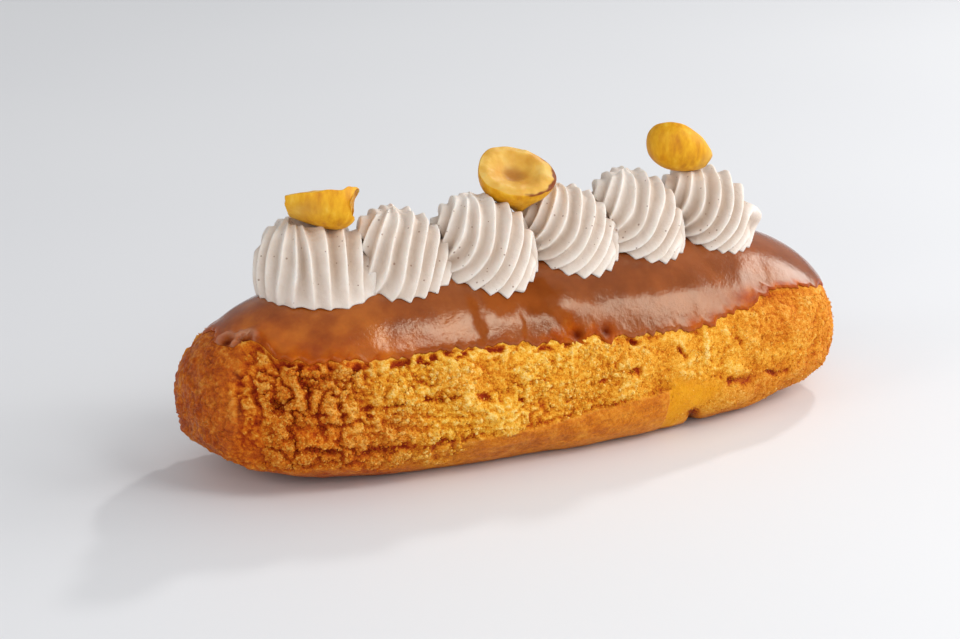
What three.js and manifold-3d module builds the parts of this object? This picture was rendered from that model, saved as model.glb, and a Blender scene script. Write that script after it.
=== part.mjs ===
// An eclair standing on its flat base: a baked choux bun, a caramel fondant glaze over its top,
// six piped cream kisses in a row along the crown, and three broken roasted hazelnuts on the cream.
// Millimetres, +Z up. The length runs along X, the shown side faces -Y, and the origin is the base's middle.
import * as THREE from "three";
import Module from "manifold-3d";

// Clearance left between pieces that touch
const GAP = 0.3;

// Choux bun
const BUN_LENGTH = 130;
const BUN_WIDTH = 42.6;
const BUN_HEIGHT = 33.8;
const WAIST_HEIGHT = 14; // height of the widest line of the side
const BASE_SINK = 0.7; // depth cut from the rounded underside by the flat base
const NEAR_END_PLAN = 3.1; // how square each end is, seen from above
const FAR_END_PLAN = 4.0;
const NEAR_END_FALL = 2.85; // how square each end is, seen from the side
const FAR_END_FALL = 2.4;
const TOP_SQUARENESS = 1.9; // how square the section is above and below the waist
const UNDERSIDE_SQUARENESS = 3.4;
const BOW = 3.5; // how far both ends turn back from the middle
const BOW_CENTRE = 0.08; // share of the bow that goes to the front, so that the box is centred

// Crust relief: large crags, smaller lumps, and two seams that run round the side
const CRAG_SIZE = 8;
const CRAG_DEPTH = 0.9;
const LUMP_SIZE = 4;
const LUMP_DEPTH = 0.55;
const SMOOTH_FOOT = 4; // the skin below this height baked smooth against the tray
const SMOOTH_ENDS = [0.86, 0.97]; // shares of the half length over which the relief dies out
const RELIEF_FADE = 2.5; // height over which it dies out at the foot and under the glaze
const SEAMS = [
  { height: 15.2, wander: 1.2, depth: 1.1, width: 1.2 },
  { height: 8.4, wander: 0.8, depth: 0.9, width: 1.1 },
];
const SEAM_WAVE = 13; // length of one wander of a seam

// Glaze
const GLAZE_THICKNESS = 1.6;
const GLAZE_RIM = 0.7; // thickness just inside the edge
const GLAZE_EDGE_HEIGHT = 23.2;
const GLAZE_EDGE_FALL = 0.035; // the dipped edge gets lower towards the far end
const GLAZE_EDGE_SAG = 1.8; // and hangs lower along the middle of each side
const SCALLOP_DEPTH = 0.9; // ragged edge
const SCALLOP_SIZE = 5;
const LIP_SHARE = 0.6; // the outer lip of the rim, as a share of its thickness

// Cream kisses, from the near end to the far end
const CREAM_SIZES = [
  { x: -41.1, y: 3.0, radius: 11.0, height: 10.6, flutes: 20, twist: 12, fullness: 0.62, tuck: 1.0 },
  { x: -26.6, y: -2.0, radius: 9.8, height: 10.4, flutes: 18, twist: 28, fullness: 0.9, tuck: -0.3 },
  { x: -11.8, y: -4.0, radius: 10.2, height: 10.4, flutes: 18, twist: 50, fullness: 0.9, tuck: 0.4 },
  { x: 5.8, y: -3.6, radius: 9.8, height: 10.2, flutes: 18, twist: 56, fullness: 0.9, tuck: 0.5 },
  { x: 21.0, y: -2.8, radius: 9.9, height: 11.6, flutes: 18, twist: 58, fullness: 0.85, tuck: 0.8 },
  { x: 37.0, y: -1.6, radius: 10.3, height: 12.0, flutes: 18, twist: 58, fullness: 0.9, tuck: 1.4 },
];
const FLUTE_DEPTH = 1.3;
const FOOT_DEEPENING = 0.6; // at the foot the flutes get this share deeper, into points
const FOOT_FADE = 5; // how fast this, and the tuck that draws the foot in, die out up the side
const FLUTE_FADE = 0.7; // exponent of how the flutes run out at the top, as fullness is of the dome's outline
const APEX_TURN = 40; // degrees of extra twist at the very top

// Hazelnut pieces: half lengths of the cut face, depth of the half, and where each one lies. tip is how pointed
// one end of the oval is, the other end where it is negative, and flat is where that other end is snapped square.
// turn holds the angles about Z, then Y, then X, in degrees, of a half that started with its face up.
const NUT_SIZES = [
  { x: -39.7, y: 1.1, z: 47.7, length: 6.6, width: 6.0, depth: 4.6, tip: -0.12, flat: 6.4, turn: [-27, -5, -26] },
  { x: -4.6, y: -3.2, z: 49.0, length: 6.9, width: 6.4, depth: 5.6, tip: 0.1, flat: 9, turn: [-32, 12, 18] },
  { x: 31.0, y: -2.0, z: 49.2, length: 6.5, width: 4.9, depth: 4.3, tip: -0.08, flat: 9, turn: [-30, 27, -60] },
];
const NUT_HOLLOW = 1.3; // depth of the hollow in the cut face
const HOLLOW_REACH = 0.52; // its size, as a share of the face
const FACE_RIM = 0.8; // ring of facets between the hollow and the rim
const BITE_RADIUS = 3.4; // ball that breaks one end of the first piece away
const BITE_REACH = 7.8; // distance from the middle of that piece to the ball
const BITE_DROP = 2.0;

// Facets
const BUN_RINGS = 62;
const END_CROWDING = 0.25; // share of the cosine spacing that brings the rings closer together at the ends
const SIDE_ANGLES = [-46, 40]; // degrees round the section that the finely faceted sides cover
const SIDE_STEPS = 15;
const TOP_STEPS = 8;
const BASE_STEPS = 4;
const GLAZE_COLUMNS = 96;
const GLAZE_ROWS = [0.3, 0.55, 0.76, 0.9, 0.97];
const CREAM_ROWS = 10;
const NUT_COLUMNS = 20;
const NUT_ROWS = 5;

const smoothStep = (low, high, value) => THREE.MathUtils.smoothstep(value, low, high);
const signedPower = (value, power) => Math.sign(value) * Math.abs(value) ** power;
const superCircle = (share, power) => Math.max(0, 1 - Math.abs(share) ** power) ** (1 / power);

// A repeatable random value from -1 to 1 for each corner of a grid of unit cells.
function cornerValue(i, j, k) {
  let bits = Math.imul(i, 374761393) ^ Math.imul(j, 668265263) ^ Math.imul(k, 1274126177);
  bits = Math.imul(bits ^ (bits >>> 13), 1103515245);
  bits ^= bits >>> 16;
  return ((bits >>> 0) / 4294967295) * 2 - 1;
}

// Noise that blends the eight corner values of a cell with smooth weights.
function smoothNoise(x, y, z) {
  const cell = [x, y, z].map(Math.floor);
  const weight = [x, y, z].map((value, axis) => smoothStep(0, 1, value - cell[axis]));
  let sum = 0;
  for (let corner = 0; corner < 8; corner++) {
    const step = [corner & 1, (corner >> 1) & 1, (corner >> 2) & 1];
    const share = step.map((far, axis) => (far ? weight[axis] : 1 - weight[axis]));
    const value = cornerValue(cell[0] + step[0], cell[1] + step[1], cell[2] + step[2]);
    sum += share[0] * share[1] * share[2] * value;
  }
  return sum;
}

// A closed surface through rings of points that run counter-clockwise about the axis from first to last.
function shutRings(first, rings, last) {
  const count = rings[0].length;
  const points = [first, ...rings.flat(), last];
  const end = points.length - 1;
  const faces = [];
  for (let i = 0; i < count; i++) {
    const next = (i + 1) % count;
    faces.push(0, 1 + next, 1 + i);
    for (let row = 0; row < rings.length - 1; row++) {
      const low = 1 + row * count;
      const high = low + count;
      faces.push(low + i, low + next, high + next, low + i, high + next, high + i);
    }
    faces.push(end, end - count + i, end - count + next);
  }
  return new THREE.BufferGeometry().setFromPoints(points).setIndex(faces);
}

// Bun surface. The section at each share of the length, from -1 to 1, is a super-ellipse above and
// another below the waist, and each end closes as a super-ellipse in plan and in side view.
const bowAt = (share) => BOW * (share * share - BOW_CENTRE);
const widthShare = (share) => superCircle(share, share < 0 ? NEAR_END_PLAN : FAR_END_PLAN);
const riseShare = (share) => superCircle(share, share < 0 ? NEAR_END_FALL : FAR_END_FALL);

function bunPoint(share, angle) {
  const above = Math.sin(angle) >= 0;
  const power = 2 / (above ? TOP_SQUARENESS : UNDERSIDE_SQUARENESS);
  const across = signedPower(Math.cos(angle), power);
  const along = Math.abs(Math.sin(angle)) ** power;
  const rise = (BUN_HEIGHT - WAIST_HEIGHT) * riseShare(share) * along;
  const drop = (WAIST_HEIGHT + BASE_SINK) * widthShare(share) * along;
  return new THREE.Vector3(
    (share * BUN_LENGTH) / 2,
    (BUN_WIDTH / 2) * widthShare(share) * across + bowAt(share),
    WAIST_HEIGHT + (above ? rise : -drop),
  );
}

// Height of the same surface above a point in plan.
function bunTop(x, y) {
  const share = THREE.MathUtils.clamp((2 * x) / BUN_LENGTH, -0.9999, 0.9999);
  const across = (y - bowAt(share)) / ((BUN_WIDTH / 2) * widthShare(share));
  return WAIST_HEIGHT + (BUN_HEIGHT - WAIST_HEIGHT) * riseShare(share) * superCircle(across, TOP_SQUARENESS);
}

function bunTopNormal(x, y) {
  const step = 0.05;
  const slopeX = (bunTop(x + step, y) - bunTop(x - step, y)) / (2 * step);
  const slopeY = (bunTop(x, y + step) - bunTop(x, y - step)) / (2 * step);
  return new THREE.Vector3(-slopeX, -slopeY, 1).normalize();
}

// Height of the line that the glaze was dipped to, and of its ragged edge.
function dipLine(x) {
  const middle = 1 - Math.min(1, Math.abs((2 * x) / BUN_LENGTH)) ** 3;
  return GLAZE_EDGE_HEIGHT - GLAZE_EDGE_FALL * x - GLAZE_EDGE_SAG * middle;
}

function glazeEdge(x, y) {
  return dipLine(x) + SCALLOP_DEPTH * smoothNoise(x / SCALLOP_SIZE, y / SCALLOP_SIZE, 7.5);
}

// Outward relief of the crust at a point of the smooth bun.
function crustRelief(point) {
  const { x, y, z } = point;
  const edge = dipLine(x) - SCALLOP_DEPTH;
  const clearOfGlaze = 1 - smoothStep(edge - RELIEF_FADE, edge, z);
  const clearOfFoot = smoothStep(SMOOTH_FOOT, SMOOTH_FOOT + RELIEF_FADE, z);
  const clearOfEnds = 1 - smoothStep(...SMOOTH_ENDS, Math.abs((2 * x) / BUN_LENGTH));
  const crags = CRAG_DEPTH * smoothNoise(x / CRAG_SIZE, y / CRAG_SIZE, z / CRAG_SIZE);
  const lumps = LUMP_DEPTH * smoothNoise(x / LUMP_SIZE, y / LUMP_SIZE, z / LUMP_SIZE + 40);
  const seams = SEAMS.map(({ height, wander, depth, width }) => {
    const path = height + wander * smoothNoise(x / SEAM_WAVE, Math.sign(y) * 3, height);
    return depth * Math.exp(-(((z - path) / width) ** 2));
  });
  const cuts = seams.reduce((sum, cut) => sum + cut, 0);
  return clearOfEnds * clearOfGlaze * (clearOfFoot * (crags + lumps) - cuts);
}

function crustPoint(share, angle) {
  const step = 0.002;
  const point = bunPoint(share, angle);
  const alongLength = bunPoint(share + step, angle).sub(bunPoint(share - step, angle));
  const aroundSide = bunPoint(share, angle + step).sub(bunPoint(share, angle - step));
  const outward = alongLength.cross(aroundSide).normalize().negate();
  point.addScaledVector(outward, crustRelief(point));
  point.z = Math.max(0, point.z);
  return point;
}

// Angles round the section, close together on the two sides where the relief shows.
function sectionAngles() {
  const [sideFrom, sideTo] = SIDE_ANGLES;
  const spread = (from, to, steps) =>
    Array.from({ length: steps }, (_, i) => THREE.MathUtils.degToRad(from + ((to - from) * i) / steps));
  return [
    ...spread(sideFrom, sideTo, SIDE_STEPS),
    ...spread(sideTo, 180 - sideTo, TOP_STEPS),
    ...spread(180 - sideTo, 180 - sideFrom, SIDE_STEPS),
    ...spread(180 - sideFrom, 360 + sideFrom, BASE_STEPS),
  ];
}

function bunGeometry() {
  const angles = sectionAngles();
  const rings = [];
  for (let i = 1; i < BUN_RINGS; i++) {
    const even = -1 + (2 * i) / BUN_RINGS;
    const crowded = -Math.cos((Math.PI * i) / BUN_RINGS);
    const share = THREE.MathUtils.lerp(even, crowded, END_CROWDING);
    rings.push(angles.map((angle) => crustPoint(share, angle)));
  }
  return shutRings(bunPoint(-1, 0), rings, bunPoint(1, 0));
}

// A point of the bun's top, reach of the way from the crown to the plan outline in one direction.
// The direction is an angle in the plan drawn with its length and width made equal.
function crownPoint(direction, reach) {
  const power = Math.cos(direction) < 0 ? NEAR_END_PLAN : FAR_END_PLAN;
  const spread = Math.abs(Math.cos(direction)) ** power + Math.abs(Math.sin(direction)) ** power;
  const outline = reach * spread ** (-1 / power);
  const share = outline * Math.cos(direction);
  const x = (share * BUN_LENGTH) / 2;
  const y = (outline * Math.sin(direction) * BUN_WIDTH) / 2 + bowAt(share);
  return new THREE.Vector3(x, y, bunTop(x, y));
}

// Directions that leave about the same distance between columns along the sides and round the ends.
function evenDirections(count) {
  return Array.from({ length: count }, (_, i) => {
    const turn = (2 * Math.PI * i) / count;
    return Math.atan2(Math.sqrt(BUN_LENGTH) * Math.sin(turn), Math.sqrt(BUN_WIDTH) * Math.cos(turn));
  });
}

// Reach at which the bun's top has come down to the glaze edge, by halving.
function edgeReach(direction) {
  let inside = 0;
  let outside = 0.999;
  for (let i = 0; i < 30; i++) {
    const middle = (inside + outside) / 2;
    const point = crownPoint(direction, middle);
    if (point.z > glazeEdge(point.x, point.y)) inside = middle;
    else outside = middle;
  }
  return inside;
}

// A point of the bun's top moved outwards.
function lifted(point, distance) {
  return point.clone().addScaledVector(bunTopNormal(point.x, point.y), distance);
}

// Thickness of the glaze, which stays even over the crown and rounds off near the edge.
const glazeAt = (share) => GLAZE_RIM + (GLAZE_THICKNESS - GLAZE_RIM) * Math.sqrt(1 - share ** 4);

function glazeGeometry() {
  const directions = evenDirections(GLAZE_COLUMNS);
  const reaches = directions.map(edgeReach);
  const ring = (share, height) =>
    directions.map((direction, i) => lifted(crownPoint(direction, share * reaches[i]), height));
  const inner = GLAZE_ROWS.map((share) => ring(share, GAP));
  const outer = GLAZE_ROWS.map((share) => ring(share, GAP + glazeAt(share)));
  const rim = [ring(1, GAP), ring(1, GAP + LIP_SHARE * GLAZE_RIM)];
  const crown = crownPoint(0, 0);
  const rings = [...inner, ...rim, ...outer.reverse()];
  return shutRings(lifted(crown, GAP), rings, lifted(crown, GAP + GLAZE_THICKNESS));
}

// Height of the glaze's outside above a point in plan.
function glazeTop(x, y) {
  const normal = bunTopNormal(x, y);
  return bunTop(x, y) + (GAP + GLAZE_THICKNESS) / normal.z;
}

// How far a kiss pushes its next neighbour along X at a given y and height.
function pressedTo(kiss, y, z) {
  const rise = Math.max(0, z - kiss.foot) / (kiss.height + GAP);
  const lean = Math.asin(Math.min(rise, 1));
  const radius = kiss.radius * Math.cos(lean) ** kiss.fullness + Math.max(0, -kiss.tuck);
  const side = radius ** 2 - (y - kiss.y) ** 2;
  return side > 0 ? kiss.x + Math.sqrt(side) + GAP : -Infinity;
}

// A fluted dome. Each flute is a sharp crest between rounded valleys, |sin| of half the flute angle, and
// turns about the axis as it climbs. The foot follows the glaze, and the side yields to the kiss before it.
function creamGeometry(kiss, before) {
  const columns = 2 * kiss.flutes;
  const twist = THREE.MathUtils.degToRad(kiss.twist);
  const apexTurn = THREE.MathUtils.degToRad(APEX_TURN);
  const domePoint = (column, climb) => {
    const lean = (Math.PI / 2) * climb;
    const valley = Math.abs(Math.sin((Math.PI / 2) * column));
    const foot = (1 - climb) ** FOOT_FADE;
    const depth = FLUTE_DEPTH * Math.cos(lean) ** FLUTE_FADE * (1 + FOOT_DEEPENING * foot);
    const crest = kiss.radius * Math.cos(lean) ** kiss.fullness - kiss.tuck * foot;
    const radius = crest - depth * valley;
    const turn = twist * (1 - (1 - climb) ** 3) + apexTurn * climb ** 4;
    const angle = (2 * Math.PI * column) / columns + turn;
    const dome = kiss.foot + kiss.height * Math.sin(lean);
    const y = kiss.y + radius * Math.sin(angle);
    const free = kiss.x + radius * Math.cos(angle);
    const x = before ? Math.max(free, pressedTo(before, y, dome)) : free;
    const drop = kiss.foot - glazeTop(x, y) - GAP;
    return new THREE.Vector3(x, y, dome - drop * (1 - climb) ** 2);
  };
  const ringAt = (climb) => Array.from({ length: columns }, (_, column) => domePoint(column, climb));
  const rim = ringAt(0);
  const middle = new THREE.Vector3(kiss.x, kiss.y, glazeTop(kiss.x, kiss.y) + GAP);
  const under = rim.map((point) => {
    const x = (point.x + middle.x) / 2;
    const y = (point.y + middle.y) / 2;
    return new THREE.Vector3(x, y, glazeTop(x, y) + GAP);
  });
  const wall = Array.from({ length: CREAM_ROWS - 1 }, (_, row) => ringAt((row + 1) / CREAM_ROWS));
  const apex = new THREE.Vector3(kiss.x, kiss.y, kiss.foot + kiss.height);
  return shutRings(middle, [under, rim, ...wall], apex);
}

function nutPlace(nut) {
  const [aboutZ, aboutY, aboutX] = nut.turn.map(THREE.MathUtils.degToRad);
  const turn = new THREE.Euler(aboutX, aboutY, aboutZ, "ZYX");
  return new THREE.Matrix4().makeRotationFromEuler(turn).setPosition(nut.x, nut.y, nut.z);
}

// Half a hazelnut: a half ellipsoid, one end of its oval drawn to a point, under a cut face with a hollow.
function nutGeometry(nut, extra, hollow) {
  const ring = (reach, z) =>
    Array.from({ length: NUT_COLUMNS }, (_, i) => {
      const angle = (2 * Math.PI * i) / NUT_COLUMNS;
      const pointed = 1 + nut.tip * Math.cos(angle) ** 3;
      return new THREE.Vector3(
        Math.max((nut.length + extra) * reach * pointed * Math.cos(angle), -nut.flat - extra),
        (nut.width + extra) * reach * Math.sin(angle),
        z,
      );
    });
  const skin = Array.from({ length: NUT_ROWS }, (_, row) => {
    const lean = (Math.PI / 2) * ((row + 1) / NUT_ROWS);
    return ring(Math.sin(lean), -(nut.depth + extra) * Math.cos(lean));
  });
  const face = [
    ring(FACE_RIM, extra),
    ring(HOLLOW_REACH, extra),
    ring(HOLLOW_REACH / 2, extra - hollow * 0.75),
  ];
  const bottom = new THREE.Vector3(0, 0, -(nut.depth + extra));
  const pit = new THREE.Vector3(0, 0, extra - hollow);
  return shutRings(bottom, [...skin, ...face], pit).applyMatrix4(nutPlace(nut));
}

// The ball that leaves a hollow break at one end of a piece.
function biteGeometry(nut) {
  const rows = 7;
  const columns = 11;
  const rings = Array.from({ length: rows - 1 }, (_, row) => {
    const lean = (Math.PI * (row + 1)) / rows;
    return Array.from({ length: columns }, (_, i) => {
      const angle = (2 * Math.PI * (i + 0.3)) / columns;
      const around = BITE_RADIUS * Math.sin(lean);
      const height = -BITE_RADIUS * Math.cos(lean);
      return new THREE.Vector3(around * Math.cos(angle), around * Math.sin(angle), height);
    });
  });
  const low = new THREE.Vector3(0, 0, -BITE_RADIUS);
  const high = new THREE.Vector3(0, 0, BITE_RADIUS);
  const ball = shutRings(low, rings, high).translate(BITE_REACH, 0, -BITE_DROP);
  return ball.applyMatrix4(nutPlace(nut));
}

// Joining and cutting
const wasm = await Module();
wasm.setup();

function solidOf(geometry) {
  const vertProperties = new Float32Array(geometry.getAttribute("position").array);
  const triVerts = new Uint32Array(geometry.index.array);
  return new wasm.Manifold(new wasm.Mesh({ numProp: 3, vertProperties, triVerts }));
}

function geometryOf(solid) {
  const { vertProperties, triVerts } = solid.getMesh();
  return new THREE.BufferGeometry()
    .setAttribute("position", new THREE.BufferAttribute(vertProperties, 3))
    .setIndex(new THREE.BufferAttribute(triVerts, 1));
}

// Materials
const material = (color, roughness) => new THREE.MeshStandardMaterial({ color, roughness, metalness: 0 });
const crust = material(0xc98a3c, 0.75);
const fondant = material(0xa5683c, 0.22);
const cream = material(0xe9e0d6, 0.5);
const roastedNut = material(0xd9a53a, 0.6);

const group = new THREE.Group();
function addPiece(name, geometry, surface) {
  geometry.computeVertexNormals();
  const mesh = new THREE.Mesh(geometry, surface);
  mesh.name = name;
  group.add(mesh);
}

addPiece("choux", bunGeometry(), crust);
addPiece("glaze", glazeGeometry(), fondant);

const nuts = NUT_SIZES.map((nut) => solidOf(nutGeometry(nut, 0, NUT_HOLLOW)));
const nutDents = NUT_SIZES.map((nut) => solidOf(nutGeometry(nut, GAP, 0)));
nuts[0] = nuts[0].subtract(solidOf(biteGeometry(NUT_SIZES[0])));

const kisses = CREAM_SIZES.map((kiss) => ({ ...kiss, foot: glazeTop(kiss.x, kiss.y) + GAP }));
kisses.forEach((kiss, i) => {
  const dome = solidOf(creamGeometry(kiss, kisses[i - 1]));
  const dented = nutDents.reduce((solid, dent) => solid.subtract(dent), dome);
  addPiece(`cream_${i + 1}`, geometryOf(dented), cream);
});

nuts.forEach((nut, i) => addPiece(`hazelnut_${i + 1}`, geometryOf(nut), roastedNut));

export default group;
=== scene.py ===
import bpy
import numpy as np
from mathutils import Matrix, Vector


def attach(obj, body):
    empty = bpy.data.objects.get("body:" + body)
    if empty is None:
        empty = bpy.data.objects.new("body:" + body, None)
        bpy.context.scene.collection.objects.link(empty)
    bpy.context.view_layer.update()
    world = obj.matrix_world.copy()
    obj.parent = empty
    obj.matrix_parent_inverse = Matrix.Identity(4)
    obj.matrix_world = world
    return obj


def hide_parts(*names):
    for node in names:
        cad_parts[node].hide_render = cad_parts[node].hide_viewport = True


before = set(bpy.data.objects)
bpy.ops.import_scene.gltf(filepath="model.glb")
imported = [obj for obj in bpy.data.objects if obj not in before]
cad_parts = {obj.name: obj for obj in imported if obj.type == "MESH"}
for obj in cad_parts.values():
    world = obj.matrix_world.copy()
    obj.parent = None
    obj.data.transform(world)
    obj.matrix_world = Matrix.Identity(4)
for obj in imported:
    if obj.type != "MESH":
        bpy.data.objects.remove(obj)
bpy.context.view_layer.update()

# Choux bun
# The bun is one length of piped choux paste, baked until its sides split into a golden crumb above
# a smooth foot that set against the tray. It stands on its flat base and carries all the rest.
MM = 0.001
BUN_LENGTH = 130.0
BUN_WIDTH = 42.6
BUN_HEIGHT = 33.8
WAIST_HEIGHT = 14.0
BASE_SINK = 0.7
NEAR_END_PLAN = 3.1
FAR_END_PLAN = 4.0
NEAR_END_FALL = 2.85
FAR_END_FALL = 2.4
TOP_SQUARENESS = 1.9
UNDERSIDE_SQUARENESS = 3.4
BOW = 3.5
BOW_CENTRE = 0.08
LAST_SHARE = 0.9999
BASE_TUCK = 0.11
BUN_RINGS = 455
BUN_COLUMNS = 214
PLAN_STEPS = 6000
SECTION_STEPS = 12001
SIDE_HEIGHTS = (0.2, 27)
SHOWN_CLOSENESS = 1.0
BACK_CLOSENESS = 0.6
FLAT_CLOSENESS = 0.2

# The glaze's dipped edge: places along the shown side with their heights, and the back's own line
GLAZE_EDGE = (
    (-65, 25.0), (-61.2, 25.2), (-58.7, 25.2), (-56.5, 26.0), (-55.4, 25.6), (-54.4, 23.8),
    (-49.6, 23.5), (-44.2, 23.4), (-38, 22.9), (-31.4, 23.2), (-26.8, 23.5), (-19, 23.2),
    (-12.6, 22.9), (-9, 22.3), (3.5, 21.9), (12, 20.6), (25, 20.3), (32, 21.2), (39, 22.0),
    (43, 23.2), (51, 22.2), (57.6, 20.6), (65, 20),
)
BACK_EDGE_HEIGHT = 23.2
BACK_EDGE_FALL = 0.035
BACK_EDGE_SAG = 1.8
SCALLOP_SIZE = 5.0
SCALLOP_DEPTH = 0.9
EDGE_BLEND = (5, -5)

# Sizes and depths of the crust's relief, from coarse to fine
CRAG_SIZE = 8.0
CRAG_DEPTH = 0.75
LUMP_SIZE = 4.0
LUMP_DEPTH = 0.5
CLUMP_SIZE = 2.5
CLUMP_DEPTH = 1.6
CREVICE_DEPTH = 0.32
CREVICE_EDGE = (0.17, 0.03)
FIBRE_SIZE = (2.0, 1.4, 1.1)
FIBRE_DEPTH = 0.56
GRAIN_SIZE = 0.75
GRAIN_DEPTH = 0.52
GRIT_SIZE = 0.45
GRIT_DEPTH = 0.10
PIT_SIZE = (2.4, 2.4, 2.0)
PIT_DEPTH = 0.9
PIT_EDGE = (0.5, 0.15)
EDGE_HOLLOW_DEPTH = 0.7
FLAKE_SIZE = (2.6, 2.6, 2.0)
FLAKE_DEPTH = 0.16
DIMPLE_SIZE = 1.9
DIMPLE_DEPTH = 0.16
SKIN_GRAIN_SIZE = 0.9
SKIN_GRAIN_DEPTH = 0.55
TRAY_LINE_SIZE = (14, 2.5, 0.5)
TRAY_LINE_DEPTH = 0.07
MEAN_CREASE = 0.28
WIDE_BEND = 1.0
WIDE_BEND_SIZE = 2.7
FINE_BEND = 0.35
FINE_BEND_SIZE = 0.8
WANDER_SIZE = 3.1
FINE_WANDER_SIZE = 0.9

# Cracks of the shown side: from x, from z, to x, to z, depth, width
SHOWN_CRACKS = (
    (-60.3, 22.6, -61.6, 13.0, 0.6, 0.40),
    (-58.9, 21.0, -59.6, 15.0, 0.5, 0.40),
    (-56.9, 18.4, -55.6, 16.6, 1.4, 0.90),
    (-53.9, 20.4, -54.3, 17.4, 0.7, 0.55),
    (-51.3, 21.0, -50.9, 18.0, 1.0, 0.80),
    (-50.9, 18.0, -51.3, 15.0, 1.0, 0.85),
    (-51.3, 15.3, -47.0, 14.6, 0.8, 0.70),
    (-45.6, 15.0, -41.0, 16.0, 0.7, 0.65),
    (-40.0, 15.4, -34.7, 16.3, 0.7, 0.45),
    (-31.8, 16.4, -28.6, 15.7, 0.6, 0.45),
    (-27.0, 15.9, -25.4, 16.1, 0.5, 0.40),
    (-22.5, 15.2, -19.9, 14.6, 0.7, 0.60),
    (-15.5, 14.2, -13.5, 13.5, 0.6, 0.50),
    (3.0, 14.2, 3.8, 14.2, 0.8, 0.60),
    (8.2, 14.8, 10.4, 14.6, 0.7, 0.55),
    (19.6, 17.0, 20.6, 16.2, 0.8, 0.60),
    (32.4, 17.2, 33.2, 16.4, 0.8, 0.60),
    (31.0, 9.2, 36.5, 8.6, 2.6, 0.90),
    (38.0, 8.3, 46.0, 8.0, 0.8, 0.60),
)

# Along the bun: height of the seam over the foot, depth and painted shade of the hollows under the
# glaze, and browning
LOW_SEAM = (
    (-60, 9.4), (-50, 8.9), (-43, 7.8), (-37, 7.4), (-28, 7.3), (-18, 7.3), (-6, 8.3),
    (2, 9.0), (11, 9.4), (22, 10.0), (30, 9.7), (46, 9.2), (62, 9.0),
)
EDGE_HOLLOWS = ((-50, 1.0), (-14, 0.9), (8, 0.5), (20, 0.15))
BROWNING = (
    (-65, 1.0), (-50, 0.95), (-42, 0.52), (-30, 0.06), (-18, 0.06),
    (0, 0.09), (26, 0.14), (36, 0.32), (50, 0.50), (65, 0.60),
)
BACK_SEAM_HEIGHT = 8.4
MID_SEAM_HEIGHT = 15.2
SEAM_WAVE = 13
MID_CUT_DEPTH = 0.7
MID_CUT_WIDTH = 0.6
WIDTH_ABOVE_SEAM = 1.25
WIDTH_BELOW_SEAM = 0.75
BACK_FOOT = 0.75
FOOT_SWELL = 0.4
TORN_START = 17.3
TORN_STOP = 25.0
TORN_TOP = 12.0
RIDGE_PLACE = 25.4
RIDGE_HEIGHT = 0.5
RIDGE_WIDTH = 0.75
RIDGE_FOOT = (13, 15)
NOTCH_PLACE = 26.8
NOTCH_DEPTH = 1.3
NOTCH_WIDTH = 1.3
NOTCH_LEAN = 0.6
NOTCH_TOP = (5.0, 2.4)

# Stretches over which one kind of crust gives way to another: along the bun, then across or up it
NEAR_SKIN_END = (-63.0, -60.8)
NEAR_CRUMB = (-60, -55.5)
CRAGS_START = (-61, -58)
CRAGS_STOP = (-38, -48)
COARSE_CRUMB = (-32, -47)
FINE_CRUMB = (-14, 24)
PITTED_EDGE = (-14, -34)
SEAM_START = (-57, -51)
SEAM_STOP = (-22, -31)
FOOT_START = (-30, -19)
FOOT_STOP = (17.8, 17.2)
TUCK_START = (-62, -52)
TUCK_STOP = (4, -14)
FAR_FADE = (64.2, 65)
SHOWN_SIDE = (3, -3)
GLAZE_COVER = (-0.6, 0.8)
SKIN_SHOULDER = (19, 25)
FOOT_EDGE = (0.2, -0.15)
NEAR_FOOT_EDGE = (3.4, 0.8)
TUCK_HEIGHT = (9, 0)
BASE_EDGE = (-0.1, 0.6)

# The near foot's rises are (height, from x, to x), extra browning (amount, heights, places)
NEAR_FOOT_RISES = ((1.6, -26, -34), (1.4, -36, -48))
LOW_BROWNING = ((0.30, (9, 2), (-5, -30)), (0.35, (17, 10), (-24, -40)))

# Colours of the crust: the crumb ramps run from the painted shade of its hollows to the painted
# highlight of its crests, the skin and torn ramps from its dark mottles to its pale ones
MEAN_TONE = 0.58
CREST_LIGHT_HOLLOW_SHADE = 0.11
BROAD_HOLLOW_SHADE = 0.05
CUT_SHADE = 0.30
NOTCH_SHADE = 0.25
RIDGE_HIGHLIGHT = 0.10
GOLDEN_CRUMB_SHADED_TO_LIT = (
    (0.0, "962a04"), (0.18, "b24a06"), (0.35, "d27e10"),
    (0.55, "eaa028"), (0.75, "f4bc48"), (1.0, "fbd886"),
)
BROWNED_CRUMB_SHADED_TO_LIT = (
    (0.0, "861e04"), (0.18, "a43806"), (0.35, "b24806"),
    (0.55, "c85e0a"), (0.75, "da7c18"), (1.0, "eba444"),
)
BAKED_SKIN = ((0.36, "903606"), (0.46, "b2500a"), (0.54, "c66612"), (0.66, "de923a"))
TAN_SKIN = ((0.36, "be6408"), (0.5, "d67e14"), (0.64, "e69c30"))
TORN_CRUMB = ((0.2, "de8a04"), (0.5, "eaa00a"), (0.8, "f2b424"))
# Painted shade: the colour the smooth skin darkens towards where its tone is low, in its hollows
SHADED_SKIN = "6c2606"

# Odd factors and shifts that mix the bits of a place into a repeatable value, the largest such value,
# and how far a seed may lie from the middle of its cell
MIXERS = np.array((374761393, 668265263, 1274126177, 1103515245), np.uint32)
SHIFTS = np.array((13, 16), np.uint32)
LARGEST = 4294967295
SEED_STRAY = 0.42


def smooth_step(low, high, value):
    """Goes from 0 at low to 1 at high, level at both ends: 3t^2 - 2t^3."""
    share = np.clip((value - low) / (high - low), 0, 1)
    return share * share * (3 - 2 * share)


def bell(distance, width):
    """A bell of height 1 at no distance: e to the minus square of the distance over the width."""
    return np.exp(-((distance / width) ** 2))


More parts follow.
